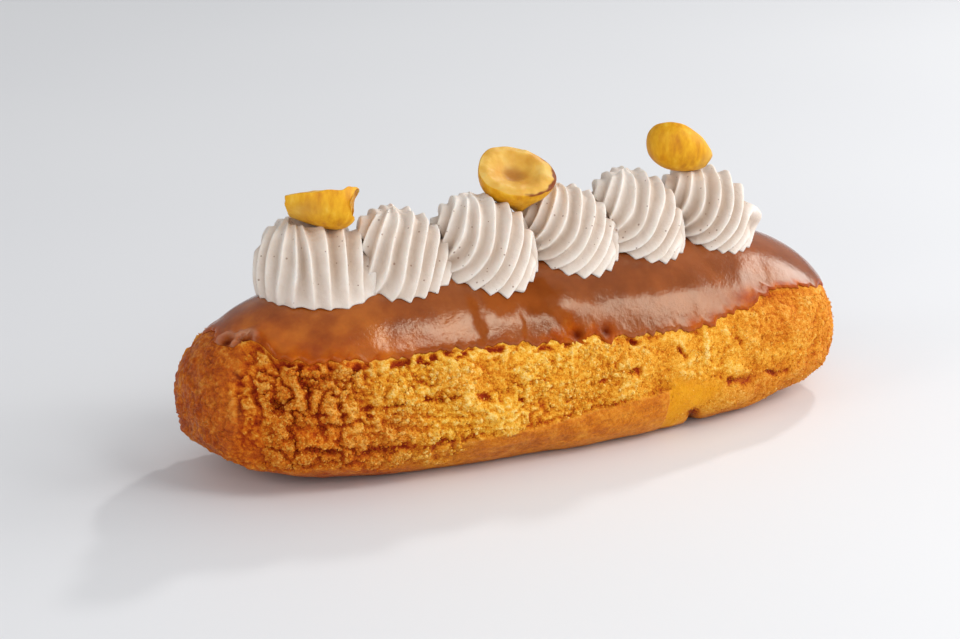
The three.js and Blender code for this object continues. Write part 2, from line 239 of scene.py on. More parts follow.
def at_least(least, share):
    """A share from 0 to 1 pressed into the range of least to 1: least plus the rest times the share."""
    return least + (1 - least) * share


def on_line(x, points):
    """The height at x of straight steps through points of (x, height)."""
    return np.interp(x, *np.transpose(points))


def signed_power(value, power):
    """A power of the value's size, with the value's own sign."""
    return np.sign(value) * np.abs(value) ** power


def super_circle(share, power):
    """Height of a super-ellipse over a share of its half width: (1 - |share|^power)^(1/power)."""
    return np.maximum(0, 1 - np.abs(share) ** power) ** (1 / power)


def width_share(share):
    """The bun's width over its length in plan: a super-ellipse of one power for each end."""
    return np.where(share < 0, super_circle(share, NEAR_END_PLAN), super_circle(share, FAR_END_PLAN))


def rise_share(share):
    """The bun's rise over its length seen from the side: a super-ellipse of one power for each end."""
    return np.where(share < 0, super_circle(share, NEAR_END_FALL), super_circle(share, FAR_END_FALL))


def bow_at(share):
    """How far the bun's middle line bows aside: the square of the share, less a constant."""
    return BOW * (share * share - BOW_CENTRE)


def bun_point(share, angle):
    """The smooth bun at a share of its length and an angle round its section: one super-ellipse above
    the waist and another below it, both closing to a super-ellipse in plan, cut flat at height 0."""
    above = np.sin(angle) >= 0
    power = np.where(above, 2 / TOP_SQUARENESS, 2 / UNDERSIDE_SQUARENESS)
    across = signed_power(np.cos(angle), power)
    along = np.abs(np.sin(angle)) ** power
    rise = (BUN_HEIGHT - WAIST_HEIGHT) * rise_share(share) * along
    drop = (WAIST_HEIGHT + BASE_SINK) * width_share(share) * along
    x = share * BUN_LENGTH / 2 + 0 * angle
    y = BUN_WIDTH / 2 * width_share(share) * across + bow_at(share)
    z = WAIST_HEIGHT + np.where(above, rise, -drop)
    return np.stack([x, y, np.maximum(z, 0)], -1)


def bun_top(x, y):
    """Height of the smooth bun above a point in plan: the section's super-ellipse at that place."""
    share = np.clip(2 * x / BUN_LENGTH, -LAST_SHARE, LAST_SHARE)
    across = (y - bow_at(share)) / (BUN_WIDTH / 2 * width_share(share))
    rise = (BUN_HEIGHT - WAIST_HEIGHT) * rise_share(share)
    return WAIST_HEIGHT + rise * super_circle(across, TOP_SQUARENESS)


def corner_value(i, j, k):
    """A repeatable value from -1 to 1 for each corner of a grid of unit cells, from the mixed bits of
    its place."""
    i, j, k = (np.asarray(place).astype(np.int64).astype(np.uint32) for place in (i, j, k))
    bits = i * MIXERS[0] ^ j * MIXERS[1] ^ k * MIXERS[2]
    bits = (bits ^ (bits >> SHIFTS[0])) * MIXERS[3]
    bits = bits ^ (bits >> SHIFTS[1])
    return bits / LARGEST * 2 - 1


def smooth_noise(x, y, z):
    """Noise that blends the eight corner values of a unit cell with smooth weights."""
    x, y, z = np.broadcast_arrays(*(np.atleast_1d(np.asarray(axis, float)) for axis in (x, y, z)))
    cells = [np.floor(axis) for axis in (x, y, z)]
    weights = [smooth_step(0, 1, axis - cell) for axis, cell in zip((x, y, z), cells)]
    total = 0
    for step in np.ndindex(2, 2, 2):
        share = [weight if far else 1 - weight for weight, far in zip(weights, step)]
        value = corner_value(*(cell + far for cell, far in zip(cells, step)))
        total = total + share[0] * share[1] * share[2] * value
    return total


def noise_at(points, size, shift=0.0):
    """Smooth noise at points, its cells of one size in millimetres or of one for each axis. A shift
    along Z, counted in cells, makes each use differ."""
    x, y, z = np.moveaxis(points / np.asarray(size), -1, 0)
    return smooth_noise(x, y, z + shift)


def grain_cells(x, y, z):
    """Distance from each point to the nearest of seeds strewn one to a unit cell, and a value from 0 to
    1 that belongs to that seed."""
    cells = [np.floor(axis) for axis in (x, y, z)]
    nearest = np.full(x.shape, 9.0)
    mark = np.zeros(x.shape)
    for step in np.ndindex(3, 3, 3):
        place = [cell + shift - 1 for cell, shift in zip(cells, step)]
        apart = 0
        for axis, value in enumerate((x, y, z)):
            strewn = corner_value(place[0] + 57 * axis, place[1] + 113, place[2] - 31 * axis)
            apart = apart + (place[axis] + 0.5 + SEED_STRAY * strewn - value) ** 2
        apart = np.sqrt(apart)
        own_mark = 0.5 + 0.5 * corner_value(place[0] - 71, place[1], place[2] + 19)
        mark = np.where(apart < nearest, own_mark, mark)
        nearest = np.minimum(nearest, apart)
    return nearest, mark


def glaze_edge(x, y):
    """Height of the dipped edge: the shown side follows its own line, and the back one that falls slowly
    towards the far end, sags in the middle with the cube of the share, and carries scallops."""
    middle = 1 - np.minimum(1, np.abs(2 * x / BUN_LENGTH)) ** 3
    back = BACK_EDGE_HEIGHT - BACK_EDGE_FALL * x - BACK_EDGE_SAG * middle
    back = back + SCALLOP_DEPTH * smooth_noise(x / SCALLOP_SIZE, y / SCALLOP_SIZE, 7.5)
    front = on_line(x, GLAZE_EDGE)
    return back + (front - back) * smooth_step(*EDGE_BLEND, y)


def run_length(points, weight=1.0):
    """Distance along a line of points from its first, each step counted with its weight."""
    steps = weight * np.linalg.norm(np.diff(points, axis=0), axis=1)
    return np.concatenate([[0], np.cumsum(steps)])


def bun_grid():
    """Shares and angles of the bun's grid. Rings are spaced evenly along the outline in plan, and
    columns round the section, closest on the shown side and wide apart over the crown and base."""
    turn = np.linspace(0, np.pi, PLAN_STEPS)
    plan = np.where(turn < np.pi / 2, NEAR_END_PLAN, FAR_END_PLAN)
    share = -signed_power(np.cos(turn), 2 / plan)
    aside = np.sin(turn) ** (2 / plan) * BUN_WIDTH / 2
    length = run_length(np.stack([share * BUN_LENGTH / 2, aside], -1))
    shares = np.interp(np.linspace(0, length[-1], BUN_RINGS + 1)[1:-1], length, share)
    angle = np.linspace(-np.pi / 2, 1.5 * np.pi, SECTION_STEPS)
    section = bun_point(np.zeros_like(angle), angle)
    side = (section[:, 2] > SIDE_HEIGHTS[0]) & (section[:, 2] < SIDE_HEIGHTS[1])
    closeness = np.where(section[:, 1] < 0, SHOWN_CLOSENESS, BACK_CLOSENESS)
    length = run_length(section, np.where(side, closeness, FLAT_CLOSENESS)[1:])
    angles = np.interp(np.linspace(0, length[-1], BUN_COLUMNS + 1)[:-1], length, angle)
    return shares, angles


def grid_normals(grid):
    """Outward unit normals of a grid whose rings run round the axis: the step round a ring crossed
    with the step along it."""
    around = np.roll(grid, -1, axis=1) - np.roll(grid, 1, axis=1)
    normal = np.cross(around, np.gradient(grid, axis=0))
    return normal / np.maximum(np.linalg.norm(normal, axis=-1, keepdims=True), 1e-9)


def blurred(grid, reach):
    """The mean of a grid of values over a soft window, a bell of reach cells, wrapped round the
    columns and held level past the first and last row."""
    margin = 40
    padded = np.pad(grid, ((margin, margin), (0, 0)), mode="edge")
    along = np.fft.fftfreq(padded.shape[0])[:, None]
    around = np.fft.rfftfreq(padded.shape[1])[None, :]
    window = np.exp(-2 * (np.pi * reach) ** 2 * (along**2 + around**2))
    return np.fft.irfft2(np.fft.rfft2(padded) * window, s=padded.shape)[margin:-margin]


def line_cut(x, z, lines):
    """Depth of cracks along straight lines on the side: a bell across each, of its depth and width."""
    total = 0
    for from_x, from_z, to_x, to_z, depth, width in lines:
        run_x, run_z = to_x - from_x, to_z - from_z
        share = ((x - from_x) * run_x + (z - from_z) * run_z) / (run_x**2 + run_z**2)
        share = np.clip(share, 0, 1)
        apart = (x - from_x - share * run_x) ** 2 + (z - from_z - share * run_z) ** 2
        total = np.maximum(total, depth * np.exp(-apart / width**2))
    return total


shares, angles = bun_grid()
smooth_bun = bun_point(shares[:, None], angles[None, :])
outward = grid_normals(smooth_bun)
x, y, z = smooth_bun[..., 0], smooth_bun[..., 1], smooth_bun[..., 2]
spine = bow_at(2 * x / BUN_LENGTH)
front = smooth_step(*SHOWN_SIDE, y - spine)
below_glaze = glaze_edge(x, y) - z
bare = smooth_step(*GLAZE_COVER, below_glaze)

# Where the crust is smooth: the near end, the foot, and a torn pale patch low on the shown side
wander = noise_at(smooth_bun, WANDER_SIZE, 9)
fine_wander = noise_at(smooth_bun, FINE_WANDER_SIZE, 4)
skin_end = x - 3.5 * smooth_step(*SKIN_SHOULDER, z) + 0.7 * wander + 0.4 * fine_wander
near_skin = 1 - smooth_step(*NEAR_SKIN_END, skin_end)
far_fade = smooth_step(*FAR_FADE, x)
low_seam = on_line(x, LOW_SEAM) + 0.3 * smooth_noise(x / 2.2, 4.0, 1.0) + 0.2 * fine_wander
back_low_seam = BACK_SEAM_HEIGHT + 0.8 * smooth_noise(x / SEAM_WAVE, 3.0, BACK_SEAM_HEIGHT)
low_seam = back_low_seam + (low_seam - back_low_seam) * front
foot_length = smooth_step(*FOOT_START, x) * smooth_step(*FOOT_STOP, x + 0.25 * fine_wander)
foot_length = BACK_FOOT + (foot_length - BACK_FOOT) * front
foot = smooth_step(*FOOT_EDGE, z - low_seam) * at_least(0.2, foot_length)
near_foot = sum(rise * smooth_step(start, stop, x) for rise, start, stop in NEAR_FOOT_RISES)
foot = np.maximum(foot, smooth_step(*NEAR_FOOT_EDGE, z - near_foot + 0.5 * wander))
torn_right = x - TORN_STOP - 1.3 * (z - 6) + 0.9 * wander + 0.4 * fine_wander
torn_top = z - TORN_TOP + 0.3 * (x - 17) + 0.9 * wander + 0.4 * fine_wander
torn_blur = 0.3 + 2.7 * smooth_step(9.0, 11.0, z)
torn = front * smooth_step(-1, 1, (x + 0.25 * fine_wander - TORN_START) / torn_blur)
torn = torn * smooth_step(2.2, -1.2, torn_right) * smooth_step(1.8, -1.4, torn_top)
skin = np.maximum(np.maximum(near_skin, foot), np.maximum(0.75 * torn, far_fade))
skin = np.clip(skin, 0, 1)

# Crumb: clumps that swell between sharp creases, each size on a bent grid of places, over broad crags
bent = np.empty_like(smooth_bun)
wide_x, wide_y, wide_z = np.moveaxis(smooth_bun / WIDE_BEND_SIZE, -1, 0)
fine_x, fine_y, fine_z = np.moveaxis(smooth_bun / FINE_BEND_SIZE, -1, 0)
for axis in range(3):
    wide = smooth_noise(wide_x + 20 * axis, wide_y, wide_z + 7 * axis)
    fine = smooth_noise(fine_x + 40 * axis, fine_y + 5, fine_z + 3 * axis)
    bent[..., axis] = smooth_bun[..., axis] + WIDE_BEND * wide + FINE_BEND * fine
bent_x, bent_y, bent_z = bent[..., 0], bent[..., 1], bent[..., 2]
crags = CRAG_DEPTH * noise_at(smooth_bun, CRAG_SIZE)
lumps = LUMP_DEPTH * noise_at(smooth_bun, LUMP_SIZE, 40)
near_crags = smooth_step(*CRAGS_START, x) * smooth_step(*CRAGS_STOP, x)
coarseness = at_least(0.14, smooth_step(*COARSE_CRUMB, x)) * at_least(0.5, smooth_step(*NEAR_CRUMB, x))
fineness = 1 - 0.55 * smooth_step(*FINE_CRUMB, x)
from_crease = np.abs(smooth_noise(bent_x / CLUMP_SIZE + 31, bent_y / CLUMP_SIZE, bent_z / CLUMP_SIZE))
clumps = CLUMP_DEPTH * coarseness * (from_crease - MEAN_CREASE)
crevices = near_crags * smooth_step(*CREVICE_EDGE, from_crease)
from_fold = smooth_noise(bent_x / FIBRE_SIZE[0], bent_y / FIBRE_SIZE[1] + 17, bent_z / FIBRE_SIZE[2])
fibres = FIBRE_DEPTH * fineness * (np.abs(from_fold) - MEAN_CREASE)
grains = GRAIN_DEPTH * fineness * (np.abs(noise_at(bent, GRAIN_SIZE, 11)) - MEAN_CREASE)
grit = GRIT_DEPTH * noise_at(smooth_bun, GRIT_SIZE)
nearest, mark = grain_cells(bent_x / PIT_SIZE[0] + 5, bent_y / PIT_SIZE[1], bent_z / PIT_SIZE[2] + 3)
by_edge_share = 0.6 * bell(below_glaze - 0.9, 0.9)
by_edge = by_edge_share * at_least(0.15, smooth_step(*PITTED_EDGE, x))
pit_share = 0.02 + by_edge + 0.15 * near_crags
pits = PIT_DEPTH * smooth_step(*PIT_EDGE, nearest + 0.16 * fine_wander)
pits = pits * smooth_step(1.02 - pit_share, 1.06 - pit_share, mark)

# Ragged hollows straight under the glaze's edge, deepest towards the near end, also darkened and
# reddened in colour as painted shade
under_edge = smooth_step(-0.2, 0.3, below_glaze) * smooth_step(1.6, 0.7, below_glaze)
ragged_edge = smooth_step(-0.15, 0.3, smooth_noise(bent_x / 1.3, 2.0, bent_z / 1.6))
shaded_edge_hollow = front * under_edge * ragged_edge * on_line(x, EDGE_HOLLOWS) * (1 - near_skin)

# Seams: short splits along the middle of the back, the groove above the foot, and the shown cracks
mid_seam = MID_SEAM_HEIGHT + 1.2 * smooth_noise(x / SEAM_WAVE, 3.0, MID_SEAM_HEIGHT)
mid_open = smooth_step(-0.2, 0.4, smooth_noise(x / 4.2, y / 9, 3.0))
mid_cut = (1 - front) * MID_CUT_DEPTH * mid_open * bell(bent_z - mid_seam, MID_CUT_WIDTH)
above_low = z + 0.7 * (bent_z - z) - low_seam
low_open = 0.15 + 0.85 * smooth_step(*SEAM_STOP, x) * smooth_step(*SEAM_START, x)
low_open = low_open * at_least(0.5, smooth_step(-0.4, 0.3, smooth_noise(x / 3.0, y / 9, 8.0)))
low_cut = low_open * bell(above_low, np.where(above_low > 0, WIDTH_ABOVE_SEAM, WIDTH_BELOW_SEAM))
broken_line = at_least(0.25, smooth_step(-0.35, 0.25, smooth_noise(x / 1.9, 7.0, z / 1.9)))
shown_cut = line_cut(x + 0.8 * (bent_x - x), z + 0.8 * (bent_z - z), SHOWN_CRACKS)
shown_cut = front * broken_line * shown_cut
ridge = front * RIDGE_HEIGHT * bell(x - RIDGE_PLACE + 0.5 * wander, RIDGE_WIDTH)
ridge = ridge * smooth_step(*RIDGE_FOOT, z)

# The whole relief, stood out along the normals, and the near base drawn in towards the middle line
rough = bare * (1 - skin)
seams = (1 - near_skin) * (1 - torn) * (mid_cut + low_cut) + (1 - 0.8 * torn) * shown_cut
holes = (1 - skin) * (pits + CREVICE_DEPTH * crevices)
cuts = bare * (seams + holes + EDGE_HOLLOW_DEPTH * shaded_edge_hollow)
small = rough * (clumps + fibres + grains + grit + ridge)
lines = TRAY_LINE_DEPTH * noise_at(smooth_bun, TRAY_LINE_SIZE) * foot * bare
dimples = DIMPLE_DEPTH * noise_at(smooth_bun, DIMPLE_SIZE, 3) * np.maximum(near_skin, 0.5 * foot)
flaking = noise_at(smooth_bun, FLAKE_SIZE, 60) + 0.3 * fine_wander
flakes = FLAKE_DEPTH * smooth_step(0.15, 0.35, flaking) * near_skin
from_skin_crease = np.abs(noise_at(bent, SKIN_GRAIN_SIZE, 21))
skin_grain = SKIN_GRAIN_DEPTH * (from_skin_crease - MEAN_CREASE) * near_skin
notch = front * NOTCH_DEPTH * bell(x - NOTCH_PLACE + NOTCH_LEAN * z, NOTCH_WIDTH)
notch = notch * smooth_step(*NOTCH_TOP, z)
form = bare * (1 - 0.8 * skin) * (crags + lumps) - 0.1 * torn + FOOT_SWELL * foot * bare * (1 - torn)
relief = form + small - cuts + lines + bare * (dimples - flakes + skin_grain) - notch
relief = relief * smooth_step(*BASE_EDGE, z)
bun = smooth_bun + outward * relief[..., None]
tucked = BASE_TUCK * front * smooth_step(*TUCK_HEIGHT, z)
tucked = tucked * smooth_step(*TUCK_START, x) * smooth_step(*TUCK_STOP, x)
bun[..., 1] -= tucked * (bun[..., 1] - spine)
bun[..., 2] = np.maximum(bun[..., 2], 0)

# Colour values: painted highlight on the crests and painted shade in the hollows, deepest in the cuts,
# and the near end is the brownest
cavity = relief - blurred(relief, 2.2)
wide_cavity = relief - blurred(relief, 8.0)
# Painted light and shade: crests lighter, hollows darker, the cuts and the notch darkest, the ridge
# lighter; the noise and tray lines add the crust's own tone
shade_and_tone = MEAN_TONE + CREST_LIGHT_HOLLOW_SHADE * np.clip(cavity / cavity.std(), -2.5, 2)
shade_and_tone = shade_and_tone + BROAD_HOLLOW_SHADE * np.clip(wide_cavity / wide_cavity.std(), -2, 2)
shade_and_tone = shade_and_tone - CUT_SHADE * np.clip(cuts, 0, 1.4) - NOTCH_SHADE * np.clip(notch, 0, 1) + RIDGE_HIGHLIGHT * ridge
shade_and_tone = shade_and_tone + 0.06 * noise_at(smooth_bun, 5, 15) + 0.05 * fine_wander + 1.2 * lines
shade_and_tone = shade_and_tone + 0.16 * near_skin * noise_at(smooth_bun, (1.5, 1.5, 2.8), 77)
# Browning along the bun, with painted shade added in the hollows under the glaze's edge
bake_and_edge_shade = on_line(x, BROWNING) + 0.6 * shaded_edge_hollow + 0.25 * noise_at(smooth_bun, (9, 9, 6), 28)
for amount, heights, places in LOW_BROWNING:
    bake_and_edge_shade = bake_and_edge_shade + amount * smooth_step(*heights, z) * smooth_step(*places, x)
bake_and_edge_shade = np.clip(bake_and_edge_shade, 0, 1)


def mesh_piece(name, points, faces, values):
    """A smooth shaded piece from points in millimetres and faces, with values kept as attributes of
    the points."""
    mesh = bpy.data.meshes.new(name)
    mesh.from_pydata(points * MM, [], faces)
    mesh.shade_smooth()
    for key, value in values.items():
        layer = mesh.attributes.new(key, "FLOAT", "POINT")
        layer.data.foreach_set("value", np.ascontiguousarray(value, dtype=np.float32))
    piece = bpy.data.objects.new(name, mesh)
    bpy.context.scene.collection.objects.link(piece)
    return piece


def closed_piece(name, rings, first, last, values):
    """A closed mesh through rings of points: quads between neighbouring rows and columns, the columns
    joined round, and a fan from each end point."""
    rows, columns = rings.shape[:2]
    points = np.vstack([rings.reshape(-1, 3), first, last])
    index = np.arange(rows * columns).reshape(rows, columns)
    beside = np.roll(index, -1, axis=1)
    quads = np.stack([index[:-1], beside[:-1], beside[1:], index[1:]], -1).reshape(-1, 4)
    first_fan = np.stack([np.full(columns, rows * columns), beside[0], index[0]], -1)
    last_fan = np.stack([np.full(columns, rows * columns + 1), index[-1], beside[-1]], -1)
    faces = quads.tolist() + first_fan.tolist() + last_fan.tolist()
    ended = {}
    for key, value in values.items():
        ended[key] = np.concatenate([value.ravel(), [value[0].mean(), value[-1].mean()]])
    return mesh_piece(name, points, faces, ended)


def tint(code):
    """A colour code such as c98a3c as linear red, green, blue and full alpha."""
    share = np.array([int(code[i : i + 2], 16) for i in (0, 2, 4)]) / 255
    linear = np.where(share <= 0.04045, share / 12.92, ((share + 0.055) / 1.055) ** 2.4)
    return (*linear, 1.0)


def add_node(tree, kind, settings=None, inputs=None):
    """A shader node with its settings, and each input either set to a value or linked from a socket."""
    made = tree.nodes.new("ShaderNode" + kind)
    for key, value in (settings or {}).items():
        setattr(made, key, value)
    for key, value in (inputs or {}).items():
        if isinstance(value, bpy.types.NodeSocket):
            tree.links.new(value, made.inputs[key])
        else:
            made.inputs[key].default_value = value
    return made


def new_finish(name, inputs):
    """A node material with its output, its shader with the inputs that are the same all over, and the
    piece's own coordinates."""
    finish = bpy.data.materials.new(name)
    finish.use_nodes = True
    tree = finish.node_tree
    tree.nodes.clear()
    shader = add_node(tree, "BsdfPrincipled", inputs=inputs)
    add_node(tree, "OutputMaterial", inputs={"Surface": shader.outputs[0]})
    place = add_node(tree, "TexCoord").outputs["Object"]
    return finish, tree, shader, place


def soaked(weight, radius, scale):
    """Shader inputs for light that soaks in: its share, and its reach for each colour times a scale."""
    return {"Subsurface Weight": weight, "Subsurface Radius": radius, "Subsurface Scale": scale}


def attribute(tree, name):
    """A value kept on the piece's points, read by its name."""
    return add_node(tree, "Attribute", {"attribute_name": name}).outputs["Fac"]


def calc(tree, operation, first, second, clamp=False):
    """One step of arithmetic on two values, held from 0 to 1 if asked."""
    settings = {"operation": operation, "use_clamp": clamp}
    return add_node(tree, "Math", settings, {0: first, 1: second}).outputs[0]


def ranged(tree, value, low, high):
    """Runs evenly from low where the value is 0 to high where it is 1."""
    inputs = {"Value": value, "To Min": low, "To Max": high}
    return add_node(tree, "MapRange", inputs=inputs).outputs[0]


def ramp(tree, factor, stops):
    """A colour ramp through stops of (position, colour code)."""
    made = add_node(tree, "ValToRGB", inputs={"Fac": factor})
    while len(made.color_ramp.elements) < len(stops):
        made.color_ramp.elements.new(0.5)
    for element, (position, code) in zip(made.color_ramp.elements, stops):
        element.position = position
        element.color = tint(code)
    return made.outputs["Color"]


def mix(tree, factor, first, second):
    """The first colour where the factor is 0, the second where it is 1, and their blend between."""
    settings = {"data_type": "RGBA", "blend_type": "MIX"}
    return add_node(tree, "Mix", settings, {0: factor, 6: first, 7: second}).outputs[2]


def noise(tree, place, scale, detail=2.0, roughness=0.5):
    """Noise of scale cells to a metre, with finer layers of a share given by the roughness."""
    inputs = {"Vector": place, "Scale": scale, "Detail": detail, "Roughness": roughness}
    return add_node(tree, "TexNoise", inputs=inputs).outputs["Fac"]


def bump(tree, height, distance):
    """A normal tilted by the slopes of a height, of a distance in metres from its lowest to highest."""
    inputs = {"Height": height, "Distance": distance, "Strength": 1.0}
    return add_node(tree, "Bump", inputs=inputs).outputs["Normal"]


near_tip = bun_point(np.array(-1.0), np.array(0.0))
far_tip = bun_point(np.array(1.0), np.array(0.0))
values = {"shade_and_tone": np.clip(shade_and_tone, 0, 1), "skin": skin, "torn": torn, "bake_and_edge_shade": bake_and_edge_shade}
choux = closed_piece("choux_crust", bun, near_tip, far_tip, values)

# The crust's finish: crumb coloured by its tone, painted light and shade included, and its baking, with
# smooth skin and torn crumb over it
dry_crust = {"Specular IOR Level": 0.14, **soaked(0.12, (1.0, 0.5, 0.2), 0.0012)}
crust, tree, shader, place = new_finish("choux_crust", dry_crust)
speckle = calc(tree, "ADD", noise(tree, place, 1700, 3.0, 0.65), noise(tree, place, 3400, 2.0, 0.6))
speckle = calc(tree, "MULTIPLY", calc(tree, "SUBTRACT", speckle, 1.0), 0.6)
shade_and_tone_here = calc(tree, "ADD", attribute(tree, "shade_and_tone"), speckle)
bake_and_edge_shade_here = attribute(tree, "bake_and_edge_shade")
skin_here = attribute(tree, "skin")
golden = ramp(tree, shade_and_tone_here, GOLDEN_CRUMB_SHADED_TO_LIT)
crumb_tint = mix(tree, bake_and_edge_shade_here, golden, ramp(tree, shade_and_tone_here, BROWNED_CRUMB_SHADED_TO_LIT))
mottle = calc(tree, "MULTIPLY", noise(tree, place, 330, 4.0, 0.6), 0.5)
fine_mottle = calc(tree, "MULTIPLY", noise(tree, place, 1300, 3.0, 0.7), 0.5)
mottle = calc(tree, "ADD", mottle, fine_mottle)
skin_tint = mix(tree, bake_and_edge_shade_here, ramp(tree, mottle, TAN_SKIN), ramp(tree, mottle, BAKED_SKIN))
# Painted shade on the smooth skin, deeper where its tone is low
skin_shade = calc(tree, "MULTIPLY", calc(tree, "SUBTRACT", 0.6, shade_and_tone_here), 1.2, True)
skin_tint = mix(tree, skin_shade, skin_tint, tint(SHADED_SKIN))
surface = mix(tree, skin_here, crumb_tint, skin_tint)
torn_share = calc(tree, "MULTIPLY", attribute(tree, "torn"), 0.8)
surface = mix(tree, torn_share, surface, ramp(tree, mottle, TORN_CRUMB))
tree.links.new(surface, shader.inputs["Base Color"])
tree.links.new(ranged(tree, skin_here, 0.78, 0.42), shader.inputs["Roughness"])
tree.links.new(bump(tree, noise(tree, place, 2600, 3.0, 0.65), 0.00028), shader.inputs["Normal"])
choux.data.materials.append(crust)
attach(choux, "root")
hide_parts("choux")

# Crumbs of the crust
# Loose grains of the baked crust that still cling where its sides have split. They are the same dry
# choux, broken small, and each sits half sunk in the crumb under it.
CRUMBS_IN_GROUP = 5400
CRUMB_COLUMNS = 6
CRUMB_ROWS = 3
CRUMB_SIZES = (0.17, 0.46)
CRUMB_SUNK = 0.45
CRUMB_STRAY = 0.2
CRUMB_UNEVEN = (0.72, 1.18)
CRUMB_SQUASH = ((0.8, 0.6, 0.55), (1.3, 1.0, 0.85))
CRUMB_TONES = (0.3, 0.7)
TONE_SPREAD = (0.04, 0.11)
BAKE_SPREAD = (0.0, 0.12)
PATCH_SIZE = (4, 4, 3)
CLING_START = (-59, -57)
CLING_BELOW_GLAZE = (0.5, 2.0)
CLING_ABOVE_FOOT = (2.0, 4.0)
NEAR_PART = (-22, -40)
FAR_PART = (-14, 12)
FINER_TOWARDS = (-8, 30)
SIDEWAYS = np.array([0.31, 0.47, 0.83])


def crumb_faces(count):
    """Faces of many small closed balls, one after another: a fan at each pole and quads between."""
    column = np.arange(CRUMB_COLUMNS)
    beside = (column + 1) % CRUMB_COLUMNS
    ring = np.arange(CRUMB_ROWS - 1)[:, None] * CRUMB_COLUMNS
    below = ring + CRUMB_COLUMNS
    quads = np.stack([ring + column, below + column, below + beside, ring + beside], -1)
    last = (CRUMB_ROWS - 1) * CRUMB_COLUMNS
    top = np.full(CRUMB_COLUMNS, CRUMB_ROWS * CRUMB_COLUMNS)
    top_fan = np.stack([top, column, beside], -1)
    fans = np.concatenate([top_fan, np.stack([top + 1, last + beside, last + column], -1)])
    start = (np.arange(count) * (CRUMB_ROWS * CRUMB_COLUMNS + 2))[:, None, None]
    quads = (quads.reshape(1, -1, 4) + start).reshape(-1, 4)
    return quads.tolist() + (fans[None] + start).reshape(-1, 3).tolist()


def crumb_points(middles, normals, sizes, dice):
    """Uneven balls, each flattened along its normal and turned about it: a middle plus rings of a
    sphere whose radius differs from point to point."""
    count = len(middles)
    lean = (np.pi * np.arange(1, CRUMB_ROWS + 1) / (CRUMB_ROWS + 1))[:, None]
    turn = 2 * np.pi * np.arange(CRUMB_COLUMNS) / CRUMB_COLUMNS
    axes = np.sin(lean) * np.cos(turn), np.sin(lean) * np.sin(turn), np.cos(lean)
    ball = np.stack(np.broadcast_arrays(*axes), -1).reshape(-1, 3)
    ball = np.vstack([ball, [[0, 0, 1], [0, 0, -1]]])
    local = ball * dice.uniform(*CRUMB_UNEVEN, (count, len(ball), 1))
    local = local * sizes[:, None, None] * dice.uniform(*CRUMB_SQUASH, (count, 1, 3))
    spin = dice.uniform(0, 2 * np.pi, count)[:, None]
    across = np.cross(normals, SIDEWAYS)
    across = across / np.linalg.norm(across, axis=-1, keepdims=True)
    beside = np.cross(normals, across)
    first = np.cos(spin) * across + np.sin(spin) * beside
    second = np.cross(normals, first)
    return middles[:, None] + np.einsum("nka,nab->nkb", local, np.stack([first, second, normals], 1))


crust_normals = grid_normals(bun)
cell_size = np.cross(np.roll(bun, -1, axis=1) - bun, np.gradient(bun, axis=0))
cell_size = np.linalg.norm(cell_size, axis=-1)
clinging = rough * smooth_step(*CLING_START, x) * smooth_step(*CLING_BELOW_GLAZE, below_glaze)
clinging = clinging * smooth_step(*CLING_ABOVE_FOOT, z - 0.8 * near_foot)
clinging = clinging * at_least(0.35, smooth_step(-0.3, 0.5, noise_at(smooth_bun, PATCH_SIZE, 33)))
near_part = front * smooth_step(*NEAR_PART, x)
far_part = front * smooth_step(*FAR_PART, x)
crumb_groups = ((front, 1.0), (1 - front, 1.0), (near_part, 1.0), (far_part, 0.8))
for number, (shown, scale) in enumerate(crumb_groups, 1):
    dice = np.random.default_rng(number)
    chance = (clinging * cell_size * shown).ravel()
    picked = dice.choice(chance.size, CRUMBS_IN_GROUP, p=chance / chance.sum())
    sizes = CRUMB_SIZES[0] + (CRUMB_SIZES[1] - CRUMB_SIZES[0]) * dice.random(CRUMBS_IN_GROUP) ** 2
    sizes = scale * sizes * (1 - 0.5 * smooth_step(*FINER_TOWARDS, x.ravel()[picked]))
    normals = crust_normals.reshape(-1, 3)[picked]
    stray = dice.uniform(-CRUMB_STRAY, CRUMB_STRAY, (CRUMBS_IN_GROUP, 3))
    middles = bun.reshape(-1, 3)[picked] + stray
    middles = middles - CRUMB_SUNK * sizes[:, None] * normals
    points = crumb_points(middles, normals, sizes, dice)
    # Each crumb takes the tone of the crust under it, painted light and shade included, held to the
    # middle of its range
    own_shade_and_tone = np.clip(shade_and_tone.ravel()[picked], *CRUMB_TONES)
    own_shade_and_tone = own_shade_and_tone + dice.normal(*TONE_SPREAD, CRUMBS_IN_GROUP)
    own_bake_and_edge_shade = bake_and_edge_shade.ravel()[picked] + dice.normal(*BAKE_SPREAD, CRUMBS_IN_GROUP)
    each = points.shape[1]
    values = {
        "shade_and_tone": np.repeat(np.clip(own_shade_and_tone, 0, 1), each),
        "bake_and_edge_shade": np.repeat(np.clip(own_bake_and_edge_shade, 0, 1), each),
        "skin": np.zeros(CRUMBS_IN_GROUP * each),
        "torn": np.zeros(CRUMBS_IN_GROUP * each),
    }
    faces = crumb_faces(CRUMBS_IN_GROUP)
    crumbs = mesh_piece(f"crust_crumbs_{number}", points.reshape(-1, 3), faces, values)
    crumbs.data.materials.append(crust)
    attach(crumbs, "root")

